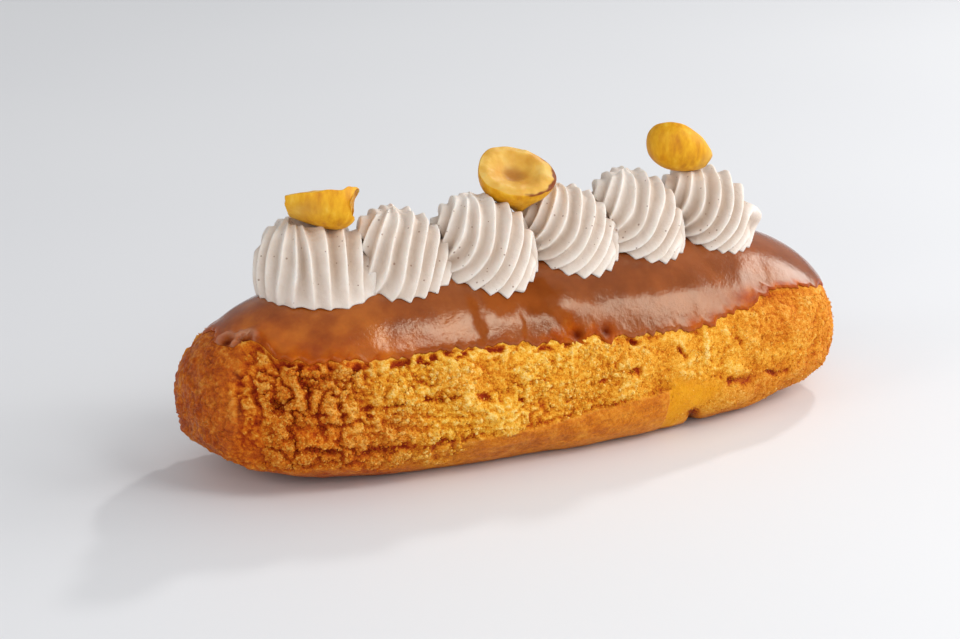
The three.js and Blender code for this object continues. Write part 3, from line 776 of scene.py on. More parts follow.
# Caramel glaze
# A coat of pourable caramel fondant. The bun was dipped top down into it, so it lies even over the
# crown, runs out in rounded lobes along the dipped edge, and clings by its own stickiness.
GLAZE_THICKNESS = 1.6
GLAZE_BEAD = 0.38
BEAD_REACH = 0.9
CLEARANCE = 0.02
LEAST_HEIGHT = 0.04
LOBE_SPACING = 3.7
LOBE_DEPTH = 0.45
BLISTER_LENGTH = 1.7
BLISTER_WIDTH = 1.2
BLISTER_HEIGHT = 0.6
BLISTER_TURN = (0.61, 0.79)
BLISTER_RIM_WIDTH = 0.3
BLISTER_HOLLOW_WIDTH = 0.6
GROOVE_FOOT = (-4.5, 26)
GROOVE_DEPTH = 0.15
GROOVE_WIDTH = 2.2
GROOVE_TOP = (31, 27)
EDGE_PIT_DEPTH = 0.25
THICKENING = (-1.5, 7)
SWELL_SIZE = (8, 7, 7)
SWELL_HEIGHT = 0.20
RIPPLE_SIZE = 3.6
RIPPLE_HEIGHT = 0.10
FINE_RIPPLE_SIZE = 1.3
FINE_RIPPLE_HEIGHT = 0.025
CALM_FAR_END = (38, 48)
THIN_REACH = (0.4, 2.8)
WARM_TOWARDS = (-18, -34)
DARK_TOWARDS = (-14, -46)
DARK_BELOW = (32, 25)
GLAZE_COLUMNS = 1040
GLAZE_ROWS = 78
ROW_SPACING = 1.6
UNDER_ROWS = 10
UNDER_REACH = (0.15, 0.995)
WIDEST_REACH = 0.9985
HALVINGS = 26

# Runs are (x, depth, width), spots and pits (x, z, width, height), blisters (x, y) of a middle, and
# the thin edge's strength goes by (x, share)
RUNS = ((-1.7, 1.5, 1.9), (4.7, 1.4, 1.5), (23.0, 0.6, 1.5), (27.8, 0.5, 1.5), (-9.5, 0.8, 1.2))
AMBER_SPOTS = (
    (-2.2, 22.6, 2.3, 2.2), (4.7, 22.0, 1.9, 1.7), (23.0, 20.7, 1.5, 1.3),
    (27.8, 20.8, 1.4, 1.3), (37.0, 22.9, 4.2, 1.5),
)
DULL_SPOTS = (
    (-19.4, 26.5, 1.4, 3.5), (-14.0, 28.6, 3.5, 2.4), (-7.0, 28.3, 5.0, 2.6), (-11.4, 25.0, 0.7, 2.0),
)
EDGE_PITS = ((4.4, 22.3, 1.1, 0.9), (-1.4, 22.5, 1.1, 0.8))
BLISTERS = ((-59.2, -0.9), (-57.0, -3.3))
THIN_EDGE = (
    (-38, 1.0), (-31, 0.35), (-11, 0.35), (-6, 1.0), (6, 1.0), (9, 0.3), (21, 0.3), (24, 1.0),
)
MILKY_CARAMEL = ((0.35, "7e3d15"), (0.5, "8a4519"), (0.65, "974e1f"))
DEEP_CARAMEL = ((0.37, "8a3a08"), (0.5, "a65010"), (0.63, "c46c1c"))
AMBER_CARAMEL = ((0.3, "903606"), (0.5, "aa4a0a"), (0.7, "c0620f"))
# Painted shade for the pits and the burst blisters' hollows
PIT_SHADE_CARAMEL = "541202"
# Painted sheen for the blister rims
BLISTER_RIM_SHEEN = "ae8068"


def crown_point(direction, reach):
    """The bun's top, reach of the way from the crown to the plan outline, a super-ellipse, in one
    direction."""
    power = np.where(np.cos(direction) < 0, NEAR_END_PLAN, FAR_END_PLAN)
    spread = np.abs(np.cos(direction)) ** power + np.abs(np.sin(direction)) ** power
    outline = reach * spread ** (-1 / power)
    share = outline * np.cos(direction)
    x = share * BUN_LENGTH / 2
    y = outline * np.sin(direction) * BUN_WIDTH / 2 + bow_at(share)
    return np.stack([x, y, bun_top(x, y)], -1)


def top_normal(x, y):
    """Outward normal of the bun's top from its slopes over a small step."""
    step = 0.05
    slope_x = (bun_top(x + step, y) - bun_top(x - step, y)) / (2 * step)
    slope_y = (bun_top(x, y + step) - bun_top(x, y - step)) / (2 * step)
    normal = np.stack([-slope_x, -slope_y, np.ones_like(slope_x)], -1)
    return normal / np.linalg.norm(normal, axis=-1, keepdims=True)


def lobed_edge(x, y):
    """The dipped edge with rounded lobes hanging from it, |sin| of the length, of changing spacing and
    depth, with two sizes of noise to fray it, and a few longer runs on the shown side, each a bell."""
    along = x + 0.35 * y
    runs = sum(depth * bell(x - middle, width) for middle, depth, width in RUNS)
    phase = np.pi * along / LOBE_SPACING + 1.6 * smooth_noise(along / 7, 2.0, 5.0)
    depth = LOBE_DEPTH * (0.55 + 0.6 * smooth_noise(along / 5.5, 8.0, 2.0))
    frayed = 0.38 * smooth_noise(along / 1.0, 3.0, 4.0) + 0.20 * smooth_noise(along / 0.42, 5.0, 9.0)
    lobes = depth * (np.abs(np.sin(phase)) ** 0.8 - 0.5)
    return glaze_edge(x, y) - lobes + frayed - runs * smooth_step(*SHOWN_SIDE, y)


def blister_distance(x, y, place):
    """Distance from a burst blister's middle in plan, counted in its half length and half width."""
    cos, sin = BLISTER_TURN
    along = (cos * (x - place[0]) - sin * (y - place[1])) / BLISTER_LENGTH
    across = (sin * (x - place[0]) + cos * (y - place[1])) / BLISTER_WIDTH
    return np.hypot(along, across)


def spots(x, z, places):
    """Soft round spots on the side: the highest of bells about each place, of its width and height."""
    bells = []
    for at_x, at_z, wide, high in places:
        bells.append(np.exp(-(((x - at_x) / wide) ** 2) - ((z - at_z) / high) ** 2))
    return np.max(bells, axis=0)


# The coat's grid runs from the lobed edge, found by halving, up to the crown
turn = 2 * np.pi * np.arange(GLAZE_COLUMNS) / GLAZE_COLUMNS
directions = np.arctan2(np.sqrt(BUN_LENGTH) * np.sin(turn), np.sqrt(BUN_WIDTH) * np.cos(turn))
inside = np.zeros(GLAZE_COLUMNS)
outside = np.full(GLAZE_COLUMNS, WIDEST_REACH)
for _ in range(HALVINGS):
    middle = (inside + outside) / 2
    tried = crown_point(directions, middle)
    within = tried[:, 2] > lobed_edge(tried[:, 0], tried[:, 1])
    inside = np.where(within, middle, inside)
    outside = np.where(within, outside, middle)
climb = (np.arange(GLAZE_ROWS) / GLAZE_ROWS) ** ROW_SPACING
coat = crown_point(directions[None, :], inside[None, :] * (1 - climb[:, None]))
steps = np.linalg.norm(np.diff(coat, axis=0), axis=-1)
from_edge = np.concatenate([np.zeros((1, GLAZE_COLUMNS)), np.cumsum(steps, axis=0)])
coat_x, coat_y, coat_z = coat[..., 0], coat[..., 1], coat[..., 2]

# The coat's height: a rounded bead at the edge, a slow swell, a groove, pits and two burst blisters
bead = np.sqrt(1 - np.clip(1 - from_edge / BEAD_REACH, 0, 1) ** 2)
above_line = coat_z - glaze_edge(coat_x, coat_y)
thickness = GLAZE_BEAD + (GLAZE_THICKNESS - GLAZE_BEAD) * smooth_step(*THICKENING, above_line)
thickness = bead * thickness
swell = SWELL_HEIGHT * noise_at(coat, SWELL_SIZE, 3) + RIPPLE_HEIGHT * noise_at(coat, RIPPLE_SIZE, 9)
swell = swell * (1 - 0.6 * smooth_step(*CALM_FAR_END, coat_x))
swell = swell + FINE_RIPPLE_HEIGHT * noise_at(coat, FINE_RIPPLE_SIZE, 29)
uneven = 0.3 * smooth_noise(coat_x / 0.9 + 7, coat_y / 0.9, coat_z / 0.9 + 50)
from_blister = np.min([blister_distance(coat_x, coat_y, place) for place in BLISTERS], axis=0) + uneven
blister_rim = bell(from_blister - 1, BLISTER_RIM_WIDTH)
blister_hollow = bell(from_blister, BLISTER_HOLLOW_WIDTH)
shown = smooth_step(2, -2, coat_y)
ragged = 0.8 * noise_at(coat, 1.7, 12) + 0.3 * noise_at(coat, 0.6)
from_groove = coat_x - GROOVE_FOOT[0] - (GROOVE_FOOT[1] - coat_z) + ragged
groove = shown * bell(from_groove, GROOVE_WIDTH) * smooth_step(*GROOVE_TOP, coat_z)
amber_runs = shown * spots(coat_x, coat_z, AMBER_SPOTS)
pit = np.maximum(shown * spots(coat_x, coat_z, EDGE_PITS), blister_hollow)
waves = smooth_step(0.8, 3.0, from_edge) * (swell - GROOVE_DEPTH * groove)
height = CLEARANCE + thickness + waves - EDGE_PIT_DEPTH * pit
burst = BLISTER_HEIGHT * (blister_rim - 0.8 * blister_hollow)
height = np.maximum(LEAST_HEIGHT, height + smooth_step(0.1, 0.5, from_edge) * burst)
outer = coat + top_normal(coat_x, coat_y) * height[..., None]
under_share = np.linspace(*UNDER_REACH, UNDER_ROWS)
under = crown_point(directions[None, :], inside[None, :] * under_share[:, None])
under = under + CLEARANCE * top_normal(under[..., 0], under[..., 1])
glaze_rings = np.concatenate([under, outer])

# Colour values: amber where the coat is thin or runs, dark towards the near end, dull in patches
thin = from_edge + 1.2 * smooth_noise(coat_x / 2.4, coat_y / 2.4, 1.0)
thin = 1 - smooth_step(*THIN_REACH, thin)
thin = thin * on_line(coat_x, THIN_EDGE)
near_warm = shown * smooth_step(*WARM_TOWARDS, coat_x) * bell(from_edge - 2.6, 2.2)
amber = np.maximum(np.maximum(amber_runs, 0.8 * thin), 0.45 * near_warm)
matt = np.maximum(groove, shown * spots(coat_x + ragged, coat_z + 0.6 * ragged, DULL_SPOTS))
matt = np.maximum(smooth_step(0.25, 0.6, matt), np.maximum(pit, 0.9 * amber_runs))
outer_values = {"amber": amber, "pit": pit, "dull": np.maximum(matt, 0.8 * thin), "rim": blister_rim}
none = np.zeros(under.shape[:2])
values = {key: np.concatenate([none, value]) for key, value in outer_values.items()}
low_down = at_least(0.35, smooth_step(*DARK_BELOW, glaze_rings[..., 2]))
values["dark"] = smooth_step(*DARK_TOWARDS, glaze_rings[..., 0]) * low_down
crown = crown_point(np.array(0.0), np.array(0.0))
lift = np.array([0.0, 0.0, 1.0])
crown_top = crown + (CLEARANCE + GLAZE_THICKNESS) * lift
glaze = closed_piece("caramel_glaze", glaze_rings, crown + CLEARANCE * lift, crown_top, values)

# The glaze's finish: milky caramel, deeper towards the near end, amber where thin, with painted shade in
# its pits and a painted sheen on the blister rims, and dull in patches
syrup = {"Roughness": 0.15, "Specular Tint": (1.0, 0.9, 0.7, 1.0)}
syrup.update(soaked(0.2, (1.0, 0.45, 0.2), 0.002))
caramel, tree, shader, place = new_finish("caramel_glaze", syrup)
cloud = noise(tree, place, 120, 4.0, 0.55)
milky = ramp(tree, cloud, MILKY_CARAMEL)
body = mix(tree, attribute(tree, "dark"), milky, ramp(tree, cloud, DEEP_CARAMEL))
amber_tint = ramp(tree, noise(tree, place, 420, 3.0), AMBER_CARAMEL)
body = mix(tree, attribute(tree, "amber"), body, amber_tint)
# Painted shade in the pits and blister hollows
pit_share = calc(tree, "MULTIPLY", attribute(tree, "pit"), 0.95)
body = mix(tree, pit_share, body, tint(PIT_SHADE_CARAMEL))
# Painted sheen on the blister rims
rim_sheen_share = calc(tree, "MULTIPLY", attribute(tree, "rim"), 0.6)
body = mix(tree, rim_sheen_share, body, tint(BLISTER_RIM_SHEEN))
tree.links.new(body, shader.inputs["Base Color"])
gloss = ranged(tree, attribute(tree, "dull"), 0.65, 0.02)
tree.links.new(gloss, shader.inputs["Specular IOR Level"])
tree.links.new(bump(tree, noise(tree, place, 1500, 3.0, 0.6), 0.00005), shader.inputs["Normal"])
glaze.data.materials.append(caramel)
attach(glaze, "root")
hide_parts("glaze")

# Hazelnut halves
# Three roasted hazelnuts, skinned and broken in half, are pressed into the cream while it is soft. The
# first lies face up with one end snapped off, the second shows its hollow, the third is on its edge.

# Each nut: middle, half sizes, tip and taper of an end, flat ends, wedge, turns about Z, Y and X
NUT_SIZES = (
    ((-40.94, 1.73, 47.58), (8.4, 6.0, 4.8), (-0.10, 0.0), (5.0, 9.0), 0.7, (-27, -5, -26)),
    ((-4.6, -3.2, 49.0), (6.9, 6.4, 6.0), (0.10, 0.0), (9.0, 9.0), 0.0, (-32, 12, 27)),
    ((32.2, -1.85, 48.6), (6.4, 4.75, 4.25), (-0.08, 0.34), (9.0, 5.5), 0.0, (-30, 26, -60)),
)
NUT_KEELS = (0.0, 1.9, 0.0)
KEEL_PLACE = (2.3, -2.5)
KEEL_WIDTH = 1.5
NUT_HOLLOW = 1.3
HOLLOW_EDGE = (0.65, 0.05)
BITE_RADIUS = 2.7
BITE_REACH = 8.2
BITE_DROP = 2.5
BITE_STRETCH = np.array([1, 0.4, 1])
CORNER_LIFT = 0.7
CORNER_ALONG = (4.6, 6.0)
CORNER_UP = (-1.6, -0.2)
SCRAPED_PLACE = (-2.0, -2.6)
SCRAPED_SIZE = (3.2, 1.3)
HUSK_SIDE = 0.05
NUT_COLUMNS = 200
SKIN_ROWS = 70
FACE_ROWS = 50
NUT_SKIN = ((0.25, "c67e0c"), (0.45, "dc9a0e"), (0.6, "e8ae1e"), (0.8, "f0c448"))
NUT_FACE = ((0.25, "ce902c"), (0.5, "deac4a"), (0.75, "ebc870"))
TOASTED_NUT = "a8692a"
BROWN_HUSK = "803c0c"


def turned(angles):
    """The rotation by angles in degrees about Z, Y and X of a half that began with its face up: the
    product of the three single turns."""
    sin_z, sin_y, sin_x = np.sin(np.radians(angles))
    cos_z, cos_y, cos_x = np.cos(np.radians(angles))
    spin_z = np.array([[cos_z, -sin_z, 0], [sin_z, cos_z, 0], [0, 0, 1]])
    spin_y = np.array([[cos_y, 0, sin_y], [0, 1, 0], [-sin_y, 0, cos_y]])
    spin_x = np.array([[1, 0, 0], [0, cos_x, -sin_x], [0, sin_x, cos_x]])
    return spin_z @ spin_y @ spin_x


def nut_half(sizes, ends, flats, wedge, seed):
    """Half an ellipsoid with one end drawn out or blunted, under a face that dips to a hollow: rings of
    the skin from its lowest point to the rim, then rings of the face from the rim inwards. A taper
    narrows one end, a wedge deepens it, and what lies beyond a flat end is pressed back to it."""
    length, width, depth = sizes
    tip, taper = ends
    angle = 2 * np.pi * np.arange(NUT_COLUMNS) / NUT_COLUMNS
    lean = np.pi / 2 * (np.arange(1, SKIN_ROWS + 1) / SKIN_ROWS)[:, None]
    inward = (1 - np.arange(1, FACE_ROWS) / FACE_ROWS)[:, None]
    reach = np.concatenate([np.sin(lean), inward]) + 0 * angle
    narrowing = 1 - taper * reach * np.cos(angle)
    low = np.concatenate([-depth * np.cos(lean), np.zeros_like(inward)]) * narrowing
    low = low * (1 + wedge * reach * np.cos(angle))
    face = np.concatenate([np.zeros_like(lean), np.ones_like(inward)]) + 0 * angle
    x = length * reach * (1 + tip * np.cos(angle) ** 3) * np.cos(angle)
    y = width * reach * np.sin(angle) * narrowing
    broken_face = 0.25 * smooth_noise(y / 1.3, low / 1.3, seed)
    x = np.clip(x, -flats[0] + broken_face, flats[1] + broken_face)
    ripple = 0.10 * smooth_noise(x / 1.6 + seed, y / 1.6, low / 1.6)
    chip = 0.20 * smooth_noise(3 * np.cos(angle) + seed, 3 * np.sin(angle), 5.0)
    rim = bell(low, 0.9) * (1 - face) + face * smooth_step(0.75, 1.0, reach)
    dip = smooth_step(*HOLLOW_EDGE, reach) * face
    crown = 0.35 * face * bell(reach - 0.78, 0.16)
    grain = ripple + 0.04 * smooth_noise(x / 0.8, y / 0.8, seed)
    z = low - NUT_HOLLOW * dip + crown + chip * rim + face * grain
    swell = 1 + 0.02 * smooth_noise(x / 3 + seed, y / 3, low / 3) * (1 - face)
    return np.stack([x * swell, y * swell, z], -1), face, rim, dip


def bitten(points):
    """Points inside the long ball that broke one end away move out to its ragged surface."""
    centre = np.array([BITE_REACH, 0, -BITE_DROP])
    apart = points - centre
    distance = np.linalg.norm(apart * BITE_STRETCH, axis=-1, keepdims=True)
    ragged = BITE_RADIUS * (1 + 0.12 * noise_at(points, 1.1))[..., None]
    within = distance < ragged
    surface = centre + apart / np.maximum(distance, 1e-6) * ragged
    return np.where(within, surface, points), within[..., 0]


# The nuts' finish: streaked skin and a paler face, toasted in the hollow and on breaks, and brown husk
roasted_nut = {"Roughness": 0.48, "Specular IOR Level": 0.25, **soaked(0.2, (1.0, 0.55, 0.15), 0.0015)}
roasted, tree, shader, place = new_finish("roasted_hazelnut", roasted_nut)
streak_place = add_node(tree, "Mapping", inputs={"Vector": place, "Scale": (1.0, 1.0, 0.35)})
streaks = noise(tree, streak_place.outputs[0], 700, 4.0, 0.6)
nut_face = ramp(tree, noise(tree, place, 260, 3.0, 0.5), NUT_FACE)
nut_shade = mix(tree, attribute(tree, "face"), ramp(tree, streaks, NUT_SKIN), nut_face)
nut_shade = mix(tree, attribute(tree, "toast"), nut_shade, tint(TOASTED_NUT))
nut_shade = mix(tree, attribute(tree, "husk"), nut_shade, tint(BROWN_HUSK))
tree.links.new(nut_shade, shader.inputs["Base Color"])
tree.links.new(bump(tree, streaks, 0.00012), shader.inputs["Normal"])

nut_frames = []
for number, (middle, sizes, ends, flats, wedge, angles) in enumerate(NUT_SIZES, 1):
    middle = np.array(middle)
    local, face, rim, dip = nut_half(sizes, ends, flats, wedge, 10 * number)
    broken = np.zeros(face.shape, bool)
    # The first has an end bitten off, a corner left standing there, and a scraped pale flank
    if number == 1:
        local, broken = bitten(local)
        corner = smooth_step(*CORNER_ALONG, local[..., 0]) * smooth_step(*CORNER_UP, local[..., 2])
        local[..., 2] += CORNER_LIFT * corner
        from_scrape = local[..., [0, 2]] - SCRAPED_PLACE
        along, up = np.moveaxis((from_scrape / SCRAPED_SIZE) ** 2, -1, 0)
        face = np.maximum(face, 0.7 * np.exp(-along - up))
    around = np.arctan2(local[..., 1], local[..., 0])
    husk = np.zeros(face.shape)
    from_keel = np.hypot(local[..., 0] - KEEL_PLACE[0], local[..., 1] - KEEL_PLACE[1])
    local[..., 2] -= NUT_KEELS[number - 1] * (1 - face) * bell(from_keel, KEEL_WIDTH)
    # The second keeps a scrap of brown husk on one side of its rim
    if number == 2:
        aside = np.angle(np.exp(1j * (around + HUSK_SIDE)))
        husk = bell(aside, 1.0) * rim**2 * (1 - 0.15 * face)
        husk = smooth_step(0.34, 0.6, husk + 0.25 * noise_at(local, 0.9))
    # The third is pale at its flat end
    if number == 3:
        face = np.maximum(face, 0.7 * smooth_step(flats[1] - 2.6, flats[1] - 0.8, local[..., 0]))
    snapped = smooth_step(flats[1] - 0.7, flats[1] - 0.2, local[..., 0])
    toast = np.clip(0.8 * smooth_step(0.35, 1.0, dip) + 0.4 * broken + 0.5 * snapped, 0, 1)
    spin = turned(angles)
    rings = local @ spin.T + middle
    bottom = spin @ np.array([0, 0, local[0, :, 2].mean()]) + middle
    pit = spin @ np.array([0, 0, -NUT_HOLLOW]) + middle
    values = {"face": face, "toast": toast, "husk": husk}
    nut = closed_piece(f"hazelnut_half_{number}", rings, bottom, pit, values)
    nut.data.materials.append(roasted)
    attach(nut, "root")
    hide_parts(f"hazelnut_{number}")
    nut_frames.append((middle, np.array(sizes), spin, flats[0], ends[1]))

# Cream kisses
# Six kisses of whipped nut cream, piped side by side along the crown through a closed star tube. Each
# was turned a little as it rose, so its flutes lean, and each presses against the one before it.

# Each kiss: middle, (radius, height, fullness), (flutes, twist, sweep, gather of the flutes),
# (tuck, spread, side and calm of the foot), (tilt of the top, length of a tail)
CREAM_SIZES = (
    ((-40.6, 2.8), (11.9, 10.6, 0.82), (24, 12, 0, 0.25), (1.2, 2.3, -25, 0.85), (3.2, 0.0)),
    ((-27.2, -1.7), (9.8, 10.4, 0.86), (22, 25, 20, 0.55), (0.1, 0.8, -105, 0.5), (0.6, 0.0)),
    ((-11.8, -4.0), (10.2, 11.1, 0.88), (22, 25, 38, 0.55), (0.4, 1.0, -105, 0.5), (2.0, 0.0)),
    ((5.8, -3.6), (9.8, 10.4, 0.98), (22, 35, 45, 0.55), (0.4, 1.1, -105, 0.5), (1.2, 0.0)),
    ((20.8, -2.7), (10.2, 11.6, 0.88), (22, 28, 48, 0.55), (0.8, 0.9, -105, 0.5), (1.5, 0.0)),
    ((37.0, -1.6), (10.3, 12.0, 0.86), (22, 30, 45, 0.55), (1.2, 0.4, -105, 0.5), (2.0, 1.8)),
)
FLUTE_DEPTH = 1.55
FLUTE_SKEW = 0.36
CREST_SOFTNESS = 0.4
FOOT_FADE = 5
TAIL_PLACE = (np.radians(-28), 0.22)
TAIL_SIZE = (0.22, 0.09)
MERGE = 0.9
CROWN_GAP = 0.3
NOT_REACHED = -999.0
FACING = np.radians(-120)
TILT_TOWARDS = np.radians(150)
TOOTH_LIFT = 0.2
DENT_GAP = 0.05
DEEPEST_DENT = 9
CREAM_COLUMNS = 360
CREAM_ROWS = 112
CREAM_UNDER_ROWS = 6
CREAM_UNDER_REACH = (0.1, 0.97)
IVORY_CREAM = ((0.3, "e5d8cc"), (0.55, "ece2d8"), (0.8, "f2ece5"))
# Painted shade for the flutes' valleys and the underside
SHADED_CREAM = "b0947c"
NUT_FLECK = "7a5238"
FLECK_SHARE = 0.62
FLECK_SIZE = 0.24


def glaze_top(x, y):
    """Height of the glaze's outside above a point in plan: its thickness over the normal's rise."""
    return bun_top(x, y) + GLAZE_THICKNESS / top_normal(x, y)[..., 2]


def foot_spread(kiss, angle, foot_share):
    """How far a kiss's foot stands out from its dome: drawn in all round, and spread again to one side
    with the cosine of the angle from it."""
    tuck, spread, towards, _ = kiss[3]
    return foot_share * (spread * np.maximum(0, np.cos(angle - np.radians(towards))) - tuck)


def pressed_to(kiss, foot, x, y, z):
    """How far along X a kiss pushes its next neighbour: its own dome's side at each point's y and
    height, less the depth to which the two merge."""
    (middle_x, middle_y), (radius, height, fullness) = kiss[:2]
    rise = np.clip((z - foot) / (height + CROWN_GAP), 0, 1)
    foot_share = (1 - np.arcsin(rise) * 2 / np.pi) ** FOOT_FADE
    reach = radius * super_circle(rise, 2) ** fullness - MERGE
    reach = reach + foot_spread(kiss, np.arctan2(y - middle_y, x - middle_x), foot_share)
    side = np.maximum(reach, 0) ** 2 - (y - middle_y) ** 2
    return np.where(side > 0, middle_x + np.sqrt(np.maximum(side, 0)), NOT_REACHED)


def kiss_surface(kiss, before, before_foot, seed):
    """A fluted dome on a grid of turn and climb. The outline is a power of cos of the lean, drawn in at
    the foot and spread at its front, and a tail is a bell on its side. A flute's phase is the arcsine of
    sin of the turn times a power of the dome's width, so flutes run over the shoulder on one side and
    close in on the crown on the other. Each falls fast beside its crest and climbs slowly to the next,
    sin of a skewed phase. Flutes twist near the top and sweep round at the foot, noise makes them
    uneven, and the top tilts. The foot follows the glaze, its valleys lifted into teeth, and the side
    yields to the kiss before it."""
    (middle_x, middle_y), (radius, height, fullness), (flutes, twist, sweep, gather) = kiss[:3]
    calm = kiss[3][3]
    tilt, tail = kiss[4]
    angle = 2 * np.pi * np.arange(CREAM_COLUMNS)[None, :] / CREAM_COLUMNS
    climb = (np.arange(CREAM_ROWS) / CREAM_ROWS)[:, None]
    lean = np.pi / 2 * climb
    foot_share = (1 - climb) ** FOOT_FADE
    width = np.cos(lean) ** fullness
    crest = radius * width + foot_spread(kiss, angle, foot_share)
    from_tail = (np.angle(np.exp(1j * (angle - TAIL_PLACE[0]))) / TAIL_SIZE[0]) ** 2
    crest = crest + tail * np.exp(-from_tail - ((climb - TAIL_PLACE[1]) / TAIL_SIZE[1]) ** 2)
    wave = 0.06 * smooth_noise(2.5 * np.cos(angle) + seed, 2.5 * np.sin(angle), 2.5 * climb)
    facing = angle - FACING - np.radians(twist) * climb**3 + np.radians(sweep) * foot_share + wave
    far_side = smooth_step(-0.3, 0.3, np.sin(facing))
    gathered = np.arcsin(width ** (gather + (1 - gather) * far_side) * np.sin(facing))
    phase = flutes * gathered / (2 * np.pi)
    flute = np.floor(phase)
    skewed = (phase - flute) ** (1 - FLUTE_SKEW * np.maximum(0, np.cos(facing)) ** 2)
    valley = np.sqrt(np.sin(np.pi * skewed) ** 2 + CREST_SOFTNESS**2) - CREST_SOFTNESS
    valley = valley / (np.sqrt(1 + CREST_SOFTNESS**2) - CREST_SOFTNESS)
    depth = FLUTE_DEPTH * (1 - calm * foot_share) * width ** (1.05 - 0.65 * far_side)
    depth = depth * (1 + 0.2 * corner_value(flute, seed, 4 + 0 * flute))
    lumps = 0.35 * smooth_noise(2 * np.cos(angle) + seed, 2 * np.sin(angle), 2 * climb + 9)
    fine_x, fine_y = 14 * np.cos(angle) * width, 14 * np.sin(angle) * width
    lumps = lumps + 0.06 * smooth_noise(fine_x + seed, fine_y, 14 * climb)
    sunk = depth * valley - lumps
    away = crest - sunk * np.cos(lean)
    foot = float(glaze_top(np.array([middle_x]), np.array([middle_y]))[0])
    dome = foot + height * np.sin(lean) - sunk * np.sin(lean)
    x = middle_x + away * np.cos(angle) + tilt * climb**2 * np.cos(TILT_TOWARDS)
    y = middle_y + away * np.sin(angle) + tilt * climb**2 * np.sin(TILT_TOWARDS)
    if before is not None:
        x = np.maximum(x, pressed_to(before, before_foot, x, y, dome))
    drop = foot - glaze_top(x, y)
    z = dome - drop * (1 - climb) ** 2 + TOOTH_LIFT * valley * foot_share
    return np.stack([x, y, z], -1), valley * depth / FLUTE_DEPTH, foot


def dented(points):
    """Points that would lie inside a nut move down to its underside, where a plumb line meets its
    tapered ellipsoid: the lower root of a quadratic."""
    for middle, sizes, spin, flat, taper in nut_frames:
        local = (points - middle) @ spin
        narrowing = 1 - taper * np.clip(local[..., 0] / sizes[0], -1, 1)
        reach = (sizes + DENT_GAP) * np.stack([np.ones_like(narrowing), narrowing, narrowing], -1)
        place = local / reach
        plumb = (np.array([0.0, 0.0, 1.0]) @ spin) / reach
        squared = (plumb**2).sum(-1)
        linear = (place * plumb).sum(-1)
        constant = (place**2).sum(-1) - 1
        meets = linear * linear - squared * constant
        lower = (-linear - np.sqrt(np.maximum(meets, 0))) / squared
        under = (meets > 0) & (lower < 0) & (lower > -DEEPEST_DENT) & (local[..., 0] > -flat)
        points[..., 2] += np.where(under, lower, 0)
    return points


# The cream's finish: ivory, with painted shade in the valleys of the flutes, and flecks of ground nut
soft_cream = {"Roughness": 0.5, "Specular IOR Level": 0.35, **soaked(0.2, (1.0, 0.7, 0.5), 0.0015)}
whipped, tree, shader, place = new_finish("whipped_cream", soft_cream)
ivory = ramp(tree, noise(tree, place, 300, 3.0, 0.5), IVORY_CREAM)
valley_shade = calc(tree, "MULTIPLY", attribute(tree, "valley"), 0.85)
cream_shade = mix(tree, valley_shade, ivory, tint(SHADED_CREAM))
fleck = add_node(tree, "TexVoronoi", inputs={"Vector": place, "Scale": 1050.0, "Randomness": 1.0})
fleck_size = add_node(tree, "SeparateColor", inputs={"Color": fleck.outputs["Color"]}).outputs[0]
fleck_range = {"From Min": FLECK_SHARE, "From Max": 1.0, "To Min": 0.0, "To Max": FLECK_SIZE}
few = add_node(tree, "MapRange", inputs={"Value": fleck_size, **fleck_range})
is_fleck = calc(tree, "LESS_THAN", fleck.outputs["Distance"], few.outputs[0])
cream_shade = mix(tree, calc(tree, "MULTIPLY", is_fleck, 0.6), cream_shade, tint(NUT_FLECK))
tree.links.new(cream_shade, shader.inputs["Base Color"])
tree.links.new(bump(tree, noise(tree, place, 1500, 3.0, 0.65), 0.00014), shader.inputs["Normal"])

before = None
before_foot = 0.0
for number, kiss in enumerate(CREAM_SIZES, 1):
    wall, valley, foot = kiss_surface(kiss, before, before_foot, 7 * number)
    wall = dented(wall)
    middle = np.array([*kiss[0], 0.0])
    share = np.linspace(*CREAM_UNDER_REACH, CREAM_UNDER_ROWS)[:, None, None]
    under = middle + (wall[:1] - middle) * share
    under[..., 2] = glaze_top(under[..., 0], under[..., 1]) + CLEARANCE
    rings = np.concatenate([under, wall])
    base_point = np.array([*kiss[0], foot + CLEARANCE])
    tip = wall[-1].mean(axis=0)
    # The underside counts as all valley, so it takes the painted shade in full
    values = {"valley": np.concatenate([np.ones(under.shape[:2]), valley])}
    cream = closed_piece(f"cream_kiss_{number}", rings, base_point, tip, values)
    cream.data.materials.append(whipped)
    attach(cream, "root")
    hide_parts(f"cream_{number}")
    before = kiss
    before_foot = foot

# Floor
# A plain pale sheet of smooth paper, laid level under the object. It is larger than the picture, so
# its edges lie outside the view.
FLOOR_SIZE = 3.0
PALE_PAPER = ((0.3, "e2e3e6"), (0.7, "e8e9eb"))
half = FLOOR_SIZE / 2
corners = [(-half, -half, 0), (half, -half, 0), (half, half, 0), (-half, half, 0)]
floor_mesh = bpy.data.meshes.new("floor")
floor_mesh.from_pydata(corners, [], [(0, 1, 2, 3)])
floor = bpy.data.objects.new("floor", floor_mesh)
bpy.context.scene.collection.objects.link(floor)
paper, tree, shader, place = new_finish("pale_paper", {"Roughness": 0.6})
tree.links.new(ramp(tree, noise(tree, place, 3.0), PALE_PAPER), shader.inputs["Base Color"])
floor.data.materials.append(paper)

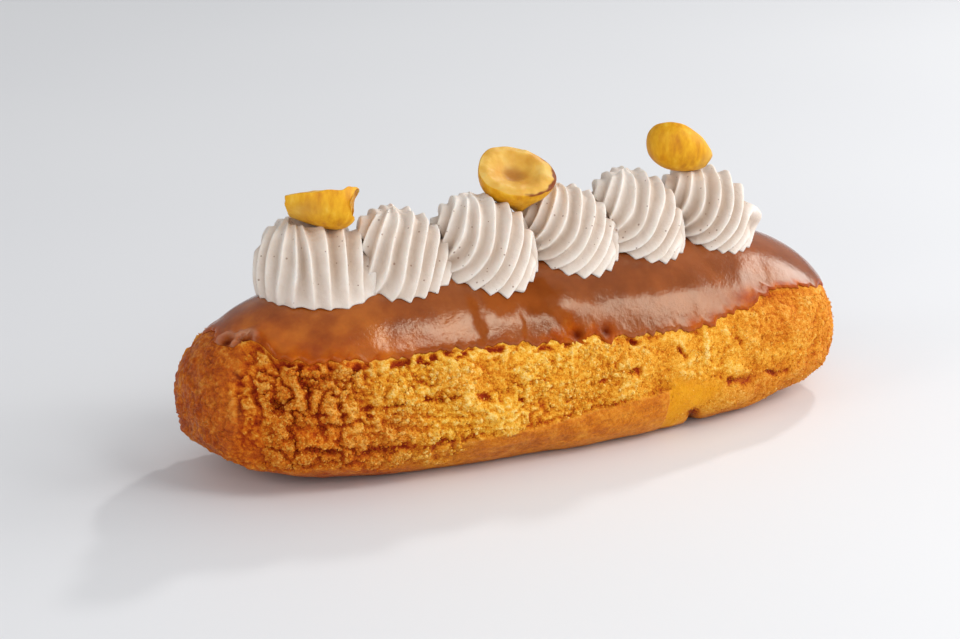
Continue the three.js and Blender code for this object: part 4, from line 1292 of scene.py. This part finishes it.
# Camera
# The photograph's view, from the near end of the shown side and a little above. A long lens from under
# half a metre off, slid sideways and down so that the object stands in its place in the frame.
AZIMUTH = np.radians(-30.16)
ELEVATION = np.radians(17.0)
DISTANCE = 0.4567
FOCAL_PIXELS = 2532.2
PICTURE_WIDTH = 960
SENSOR_WIDTH = 36.0
NEAREST_SEEN = 0.01
AIM = np.array([0.0, 0.00079, 0.025])
SLIDE_RIGHT = 0.0079
SLIDE_UP = 0.00477
level = np.array([np.sin(AZIMUTH), -np.cos(AZIMUTH), 0.0])
back = level * np.cos(ELEVATION) + np.array([0.0, 0.0, np.sin(ELEVATION)])
right = np.array([np.cos(AZIMUTH), np.sin(AZIMUTH), 0.0])
up = np.cross(back, right)
view = bpy.data.cameras.new("camera")
view.lens = FOCAL_PIXELS * SENSOR_WIDTH / PICTURE_WIDTH
view.sensor_width = SENSOR_WIDTH
view.clip_start = NEAREST_SEEN
camera = bpy.data.objects.new("camera", view)
camera.location = AIM + back * DISTANCE - right * SLIDE_RIGHT - up * SLIDE_UP
camera.rotation_euler = Vector(-back).to_track_quat("-Z", "Y").to_euler()
bpy.context.scene.collection.objects.link(camera)
bpy.context.scene.camera = camera

# Light
# A small light behind and to the right casts the shadow. Two soft boxes and a card stand where the
# glaze mirrors them, a broad front light and a card on the left fill the shade, and the room is pale.

# Each light: name, place, width and height, power, colour
LIGHTS = (
    ("back_light", (0.77, 0.50, 0.77), (0.08, 0.08), 2.9, (1.0, 0.99, 0.98)),
    ("high_box", (0.218, -0.447, 0.562), (0.24, 0.25), 1.2, (1.0, 0.99, 0.98)),
    ("soft_box", (0.495, -0.453, 0.330), (0.28, 0.37), 1.65, (1.0, 0.99, 0.98)),
    ("side_card", (0.67, -0.07, 0.31), (0.52, 0.24), 2.0, (1.0, 0.99, 0.98)),
    ("front_light", (-0.55, -0.95, 0.48), (0.9, 0.6), 3.6, (1.0, 0.99, 0.97)),
    ("left_card", (-0.80, -0.10, 0.42), (0.30, 0.30), 1.0, (1.0, 0.99, 0.98)),
)
LIGHT_AIM = Vector((0, 0, 0.02))
ROOM_TINT = (0.95, 0.97, 1.0, 1.0)
ROOM_STRENGTH = 0.38
for name, place, size, power, colour in LIGHTS:
    lamp = bpy.data.lights.new(name, "AREA")
    lamp.shape = "RECTANGLE"
    lamp.size, lamp.size_y = size
    lamp.energy = power
    lamp.color = colour
    light = bpy.data.objects.new(name, lamp)
    light.location = place
    light.rotation_euler = (LIGHT_AIM - Vector(place)).to_track_quat("-Z", "Y").to_euler()
    bpy.context.scene.collection.objects.link(light)
room = bpy.data.worlds.new("room")
room.use_nodes = True
backdrop = room.node_tree.nodes["Background"]
backdrop.inputs["Color"].default_value = ROOM_TINT
backdrop.inputs["Strength"].default_value = ROOM_STRENGTH
bpy.context.scene.world = room
bpy.context.scene.view_settings.view_transform = "Standard"
